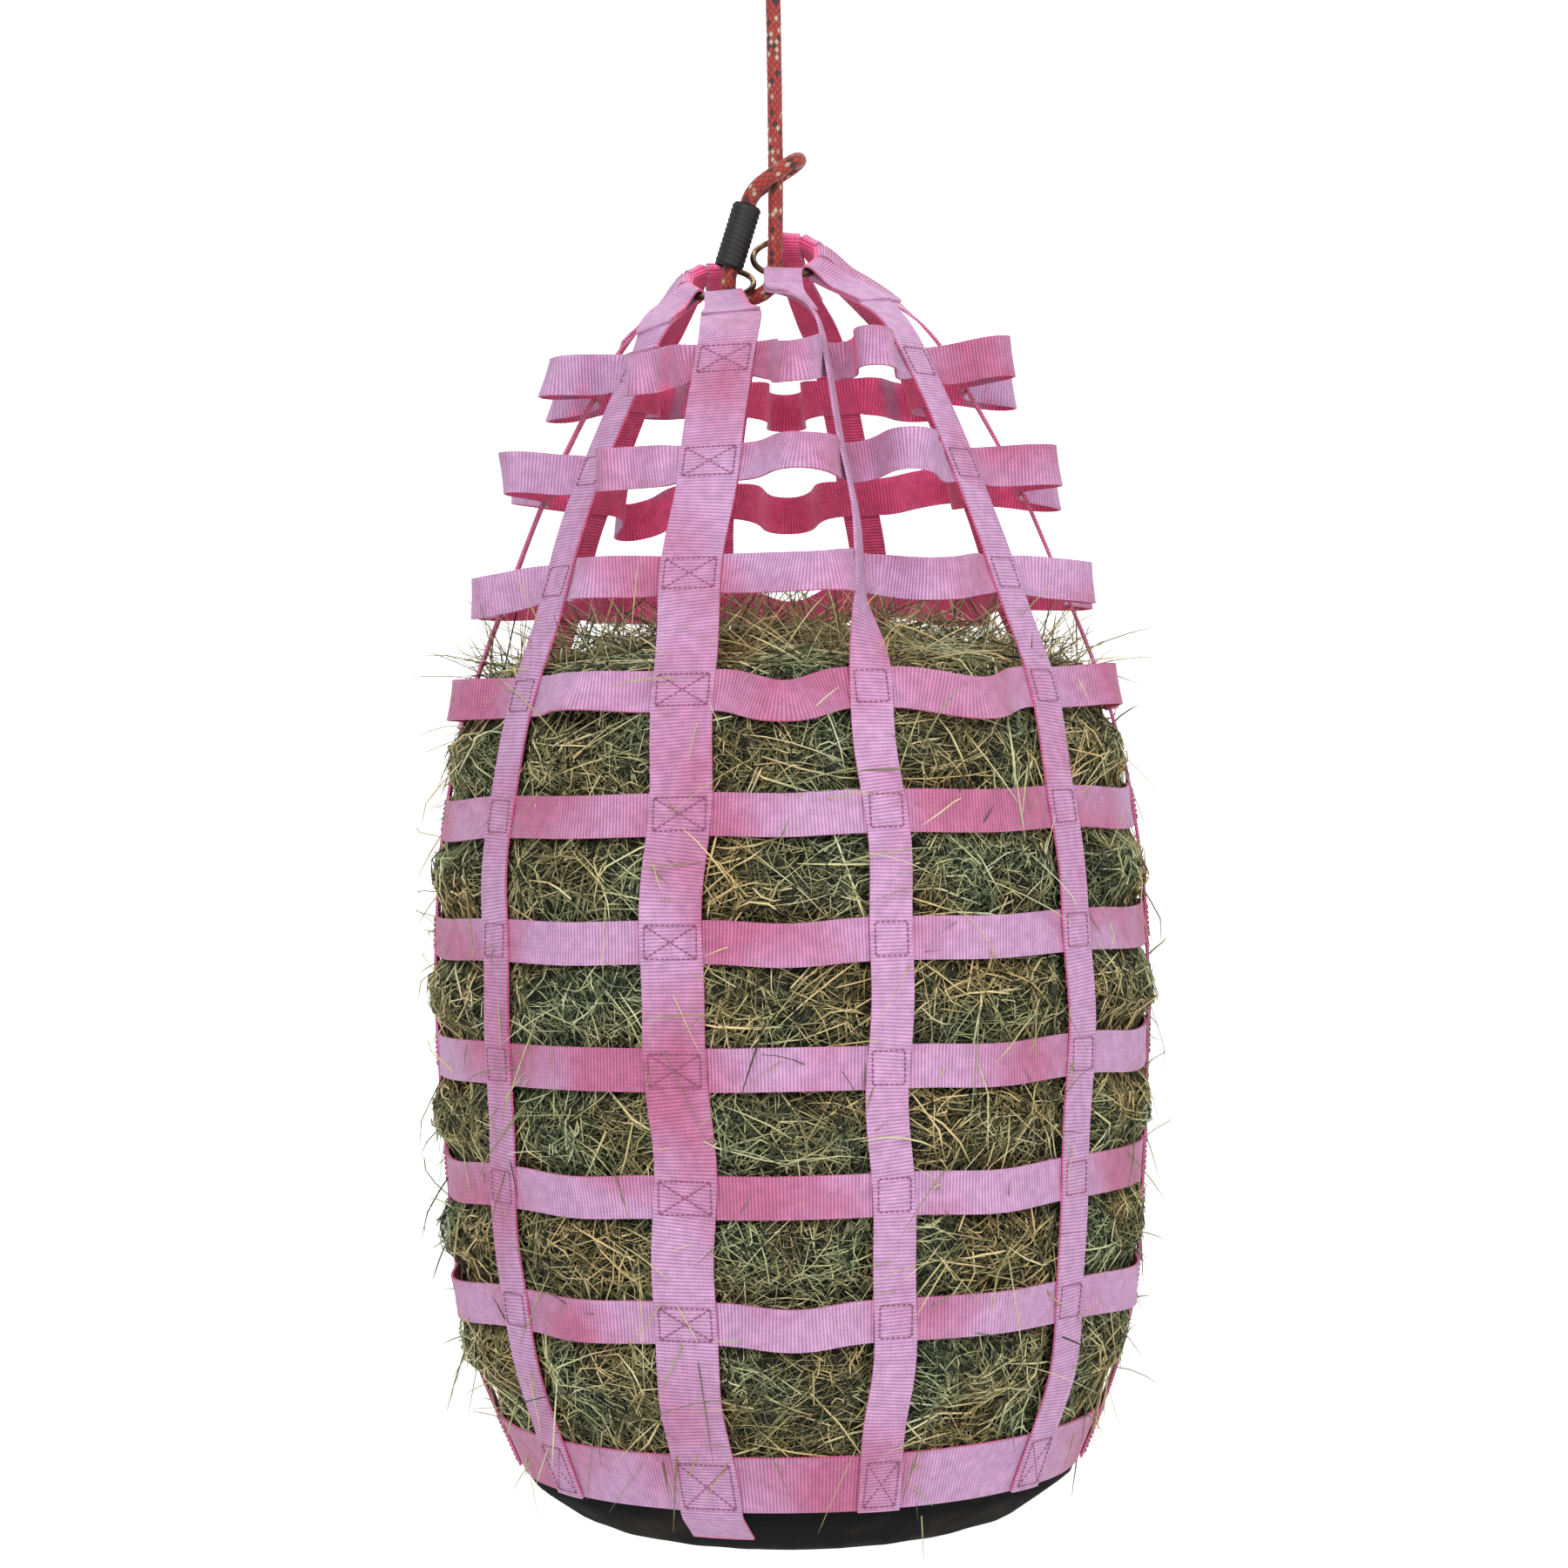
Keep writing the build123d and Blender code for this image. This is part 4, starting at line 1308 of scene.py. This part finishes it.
# --- rope -------------------------------------------------------------------------------------------
@dataclass
class Cord:
    """One length of the braided rope."""

    name: str
    node: str
    route: tuple
    body: str
    length: float
    lay: str
    diameter: float = 10 * MM
    sides: int = 32
    step: float = 0.8 * MM

    def centreline(self) -> Array:
        """Points read from the route's NURBS curve, a step apart."""
        curve = bpy.data.curves.new(self.name + "_route", "CURVE")
        curve.dimensions = "3D"
        curve.resolution_u = 24
        spline = curve.splines.new("NURBS")
        spline.points.add(len(self.route) - 1)
        for point, place in zip(spline.points, self.route):
            point.co = (*(x * MM for x in place), 1)
        spline.order_u = 3
        spline.use_endpoint_u = True
        obj = bpy.data.objects.new(self.name + "_route", curve)
        mesh = bpy.data.meshes.new_from_object(obj)
        line = np.array([v.co for v in mesh.vertices], float)
        bpy.data.objects.remove(obj)
        bpy.data.meshes.remove(mesh)
        travel = travelled(line)
        at = np.linspace(0, travel[-1], max(8, int(travel[-1] / self.step)))
        return np.stack([np.interp(at, travel, line[:, k]) for k in range(3)], 1)

    def build(self, finish: bpy.types.Material) -> bpy.types.Object:
        """Makes the rope with its plaited yarns raised.

        Args:
            finish: the rope's material.

        Returns:
            The piece.
        """
        line = self.centreline()
        along = unit(np.gradient(line, axis=0))
        side = np.zeros_like(line)
        side[0] = unit(np.cross(along[0], np.array([0.0, 1.0, 0.0])))
        for k in range(1, len(line)):
            side[k] = unit(side[k - 1] - along[k] * (side[k - 1] @ along[k]))
        other = np.cross(along, side)
        rows = len(line)
        travel = travelled(line)
        turn = np.arange(self.sides) / self.sides
        lanes, pitch = 8, 5 * MM
        one = np.abs(np.mod(turn[None] * lanes + travel[:, None] / pitch, 1) - 0.5)
        two = np.abs(np.mod(turn[None] * lanes - travel[:, None] / pitch, 1) - 0.5)
        swell = (0.5 - one) * (0.5 - two) * 4
        radius = self.diameter / 2 * (0.955 + 0.05 * swell)
        radius[0] = radius[-1] = self.diameter / 2 * 0.9
        angle = 2 * np.pi * turn[None]
        points = (line[:, None] + side[:, None] * (np.cos(angle) * radius)[..., None]
                  + other[:, None] * (np.sin(angle) * radius)[..., None]).reshape(-1, 3)
        faces = []
        for row in range(rows - 1):
            a = row * self.sides + np.arange(self.sides)
            b = row * self.sides + (np.arange(self.sides) + 1) % self.sides
            faces.append(np.stack([a, b, b + self.sides, a + self.sides], 1))
        obj = mesh_of(self.name, points, np.concatenate(faces))
        set_uv(obj, np.tile(turn, rows), np.repeat(travel, self.sides))
        fix_normals(obj, fill=True)
        shade(obj, 70)
        dress(obj, finish, self.body)
        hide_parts(self.node)
        return obj


def noose_point(distance: float, y: float = 0.0) -> tuple[float, float, float]:
    """A point on the noose sleeve's middle line, in millimetres from its foot."""
    lean = math.radians(18.3)
    return (-32.0 + math.sin(lean) * distance, y, -325.0 + math.cos(lean) * distance)


CORDS = (
    Cord("main_rope", "rope_main",
         ((0, 0, -142), (0, 0, -329), (-7.5, 0, -341.5), (-23.5, 0, -346.5), noose_point(-14.5),
          noose_point(32)), NET, 0.276, "taut"),
    Cord("noose_eye_rope", "noose_eye",
         (noose_point(42, 5.2), noose_point(50, 5.2), (-6.5, 10.6, -270), (14.5, 10.6, -257),
          (14.5, -10.6, -257), (-6.5, -10.6, -270), noose_point(50, -5.2), noose_point(42, -5.2)),
         "noose", 0.104, "taut"),
    Cord("upper_eye_rope", "upper_eye",
         ((-5.2, 0, -100), (-5.2, 0, -95), (-7.9, 0, -87), (-7.9, 0, -65.1), (7.9, 0, -65.1), (7.9, 0, -87),
          (5.2, 0, -95), (5.2, 0, -100)), NET, 0.0795, "taut"),
)


@dataclass
class Sleeve:
    """A ribbed plastic sleeve crimped round the rope."""

    name: str
    node: str
    body: str
    foot: tuple
    lean: float
    radius: float = 9.5 * MM
    length: float = 42 * MM
    bore: float = 5.3 * MM

    def build(self, finish: bpy.types.Material) -> bpy.types.Object:
        """Makes the sleeve from a rolled grid with diagonal ribs and rounded ends."""
        obj, j, i = grid(self.name, 64, 72)
        turn, z = j / 64 * 2 * np.pi, i / 72 * self.length
        rib = 0.5 + 0.5 * np.sin(z / self.length * 2 * np.pi * 13 + turn * 2)
        ends = np.minimum(1, np.minimum(z, self.length - z) / (1.6 * MM))
        radius = self.radius - 0.55 * MM * (1 - rib) - 1.2 * MM * (1 - np.sqrt(np.clip(ends, 0, 1)))
        set_points(obj, np.stack([radius * np.cos(turn), radius * np.sin(turn), z], 1))
        weld(obj)
        apply_modifier(obj, "SOLIDIFY", thickness=self.radius - self.bore - 1.4 * MM, offset=-1.0)
        points = get_points(obj)
        lean = math.radians(self.lean)
        up = np.array([math.sin(lean), 0, math.cos(lean)])
        right = np.array([math.cos(lean), 0, -math.sin(lean)])
        placed = (np.array(self.foot) * MM + right * points[:, :1] + np.array([0, 1.0, 0]) * points[:, 1:2]
                  + up * points[:, 2:])
        set_points(obj, placed)
        fix_normals(obj)
        shade(obj, 60)
        dress(obj, finish, self.body)
        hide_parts(self.node)
        return obj


SLEEVES = (
    Sleeve("noose_crimp", "noose_sleeve", "noose", (-32.0, 0, -325.0), 18.3),
    Sleeve("upper_crimp", "upper_sleeve", NET, (0, 0, -142.0), 0.0),
)


# --- studio -----------------------------------------------------------------------------------------
@dataclass
class Studio:
    """The camera, the soft lights and the pale floor with its sweep."""

    camera_at: tuple = (-0.0027, -2.2, -0.655)
    lens: float = 79.1
    roll: float = 1.1
    floor_drop: float = 0.28
    floor_front: float = -3.0
    floor_wide: float = 16.0
    floor_long: float = 9.0
    floor_flat: float = 5.5
    floor_bend: float = 1.2

    def camera(self) -> None:
        """Makes the level camera in front of the net."""
        data = bpy.data.cameras.new("camera")
        data.lens, data.sensor_width = self.lens, 36.0
        obj = bpy.data.objects.new("camera", data)
        obj.location = self.camera_at
        obj.rotation_euler = (math.radians(90), math.radians(self.roll), 0)
        bpy.context.scene.collection.objects.link(obj)
        bpy.context.scene.camera = obj

    def light(self, name: str, place: tuple, size: float, power: float, aim: tuple = (0, 0, -0.75)) -> None:
        """Adds a square area light.

        Args:
            name: the light's name.
            place: where it stands.
            size: its side.
            power: its power in watts.
            aim: what it looks at, the net's middle unless given.
        """
        data = bpy.data.lights.new(name, "AREA")
        data.energy, data.size = power, size
        obj = bpy.data.objects.new(name, data)
        obj.location = place
        obj.rotation_euler = (Vector(aim) - Vector(place)).to_track_quat("-Z", "Y").to_euler()
        bpy.context.scene.collection.objects.link(obj)

    def backdrop(self) -> None:
        """Makes the floor, which sweeps up behind the net."""
        floor = CAD_BOX[0][2] - self.floor_drop
        steps, bend, flat_run = 40, self.floor_bend, self.floor_flat
        obj, j, i = grid("floor", 1, steps)
        run = i / steps * self.floor_long
        angle = np.clip((run - flat_run) / bend, 0, np.pi / 2)
        y = self.floor_front + np.minimum(run, flat_run) + bend * np.sin(angle)
        z = floor + bend * (1 - np.cos(angle)) + np.maximum(run - flat_run - bend * np.pi / 2, 0) * 3
        set_points(obj, np.stack([(j - 0.5) * self.floor_wide, y, z], 1))
        n = Nodes("pale_floor")
        n.put(n.shader, "Base Color", (0.9, 0.9, 0.9, 1))
        obj.data.materials.append(n.finish(Roughness=0.9))
        shade(obj, 60)

    def build(self) -> None:
        """Makes the whole studio."""
        self.camera()
        self.backdrop()
        self.light("key", (-0.5, -2.6, 0.5), 1.3, 44)
        self.light("fill", (1.7, -1.7, -0.3), 1.6, 15)
        self.light("top", (0.2, 0.5, 1.3), 1.4, 20)
        self.light("backdrop", (0.0, 1.6, 1.2), 2.0, 60, (0, 6.0, -0.6))
        world = bpy.data.worlds.new("soft_sky")
        world.use_nodes = True
        world.node_tree.nodes["Background"].inputs[0].default_value = (1, 1, 1, 1)
        world.node_tree.nodes["Background"].inputs[1].default_value = 0.72
        bpy.context.scene.world = world
        bpy.context.scene.view_settings.view_transform = "Standard"


def main() -> None:
    """Builds the studio, the rope, the netting, the base and the hay."""
    logging.basicConfig(level=logging.INFO, format="%(message)s")
    Studio().build()
    rope, sleeve = RopeFinish().build(), SleeveFinish().build()
    for cord in CORDS:
        cord.build(rope)
    for piece in SLEEVES:
        piece.build(sleeve)
    bronze = MetalFinish("bronzed_steel", (0.1, 0.06, 0.035), (0.42, 0.3, 0.17), 0.34).build()
    plated = MetalFinish("plated_steel", (0.55, 0.55, 0.56), (0.3, 0.29, 0.27), 0.3).build()
    for node, metal in (("right_ring", bronze), ("left_ring", bronze), ("swivel_eye", plated),
                        ("hook_body", plated), ("hook_gate", plated), ("gate_pin", plated)):
        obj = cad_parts[node]
        obj.data.materials.clear()
        obj.data.materials.append(metal)
        shade(obj, 35)
    bag = Bag()
    Netting(bag, WebbingFinish().build(), ThreadFinish().build()).build()
    Base(bag, FabricFinish().build()).build()
    Hay(bag, HayFinish().build()).build()


if __name__ == "__main__":
    main()
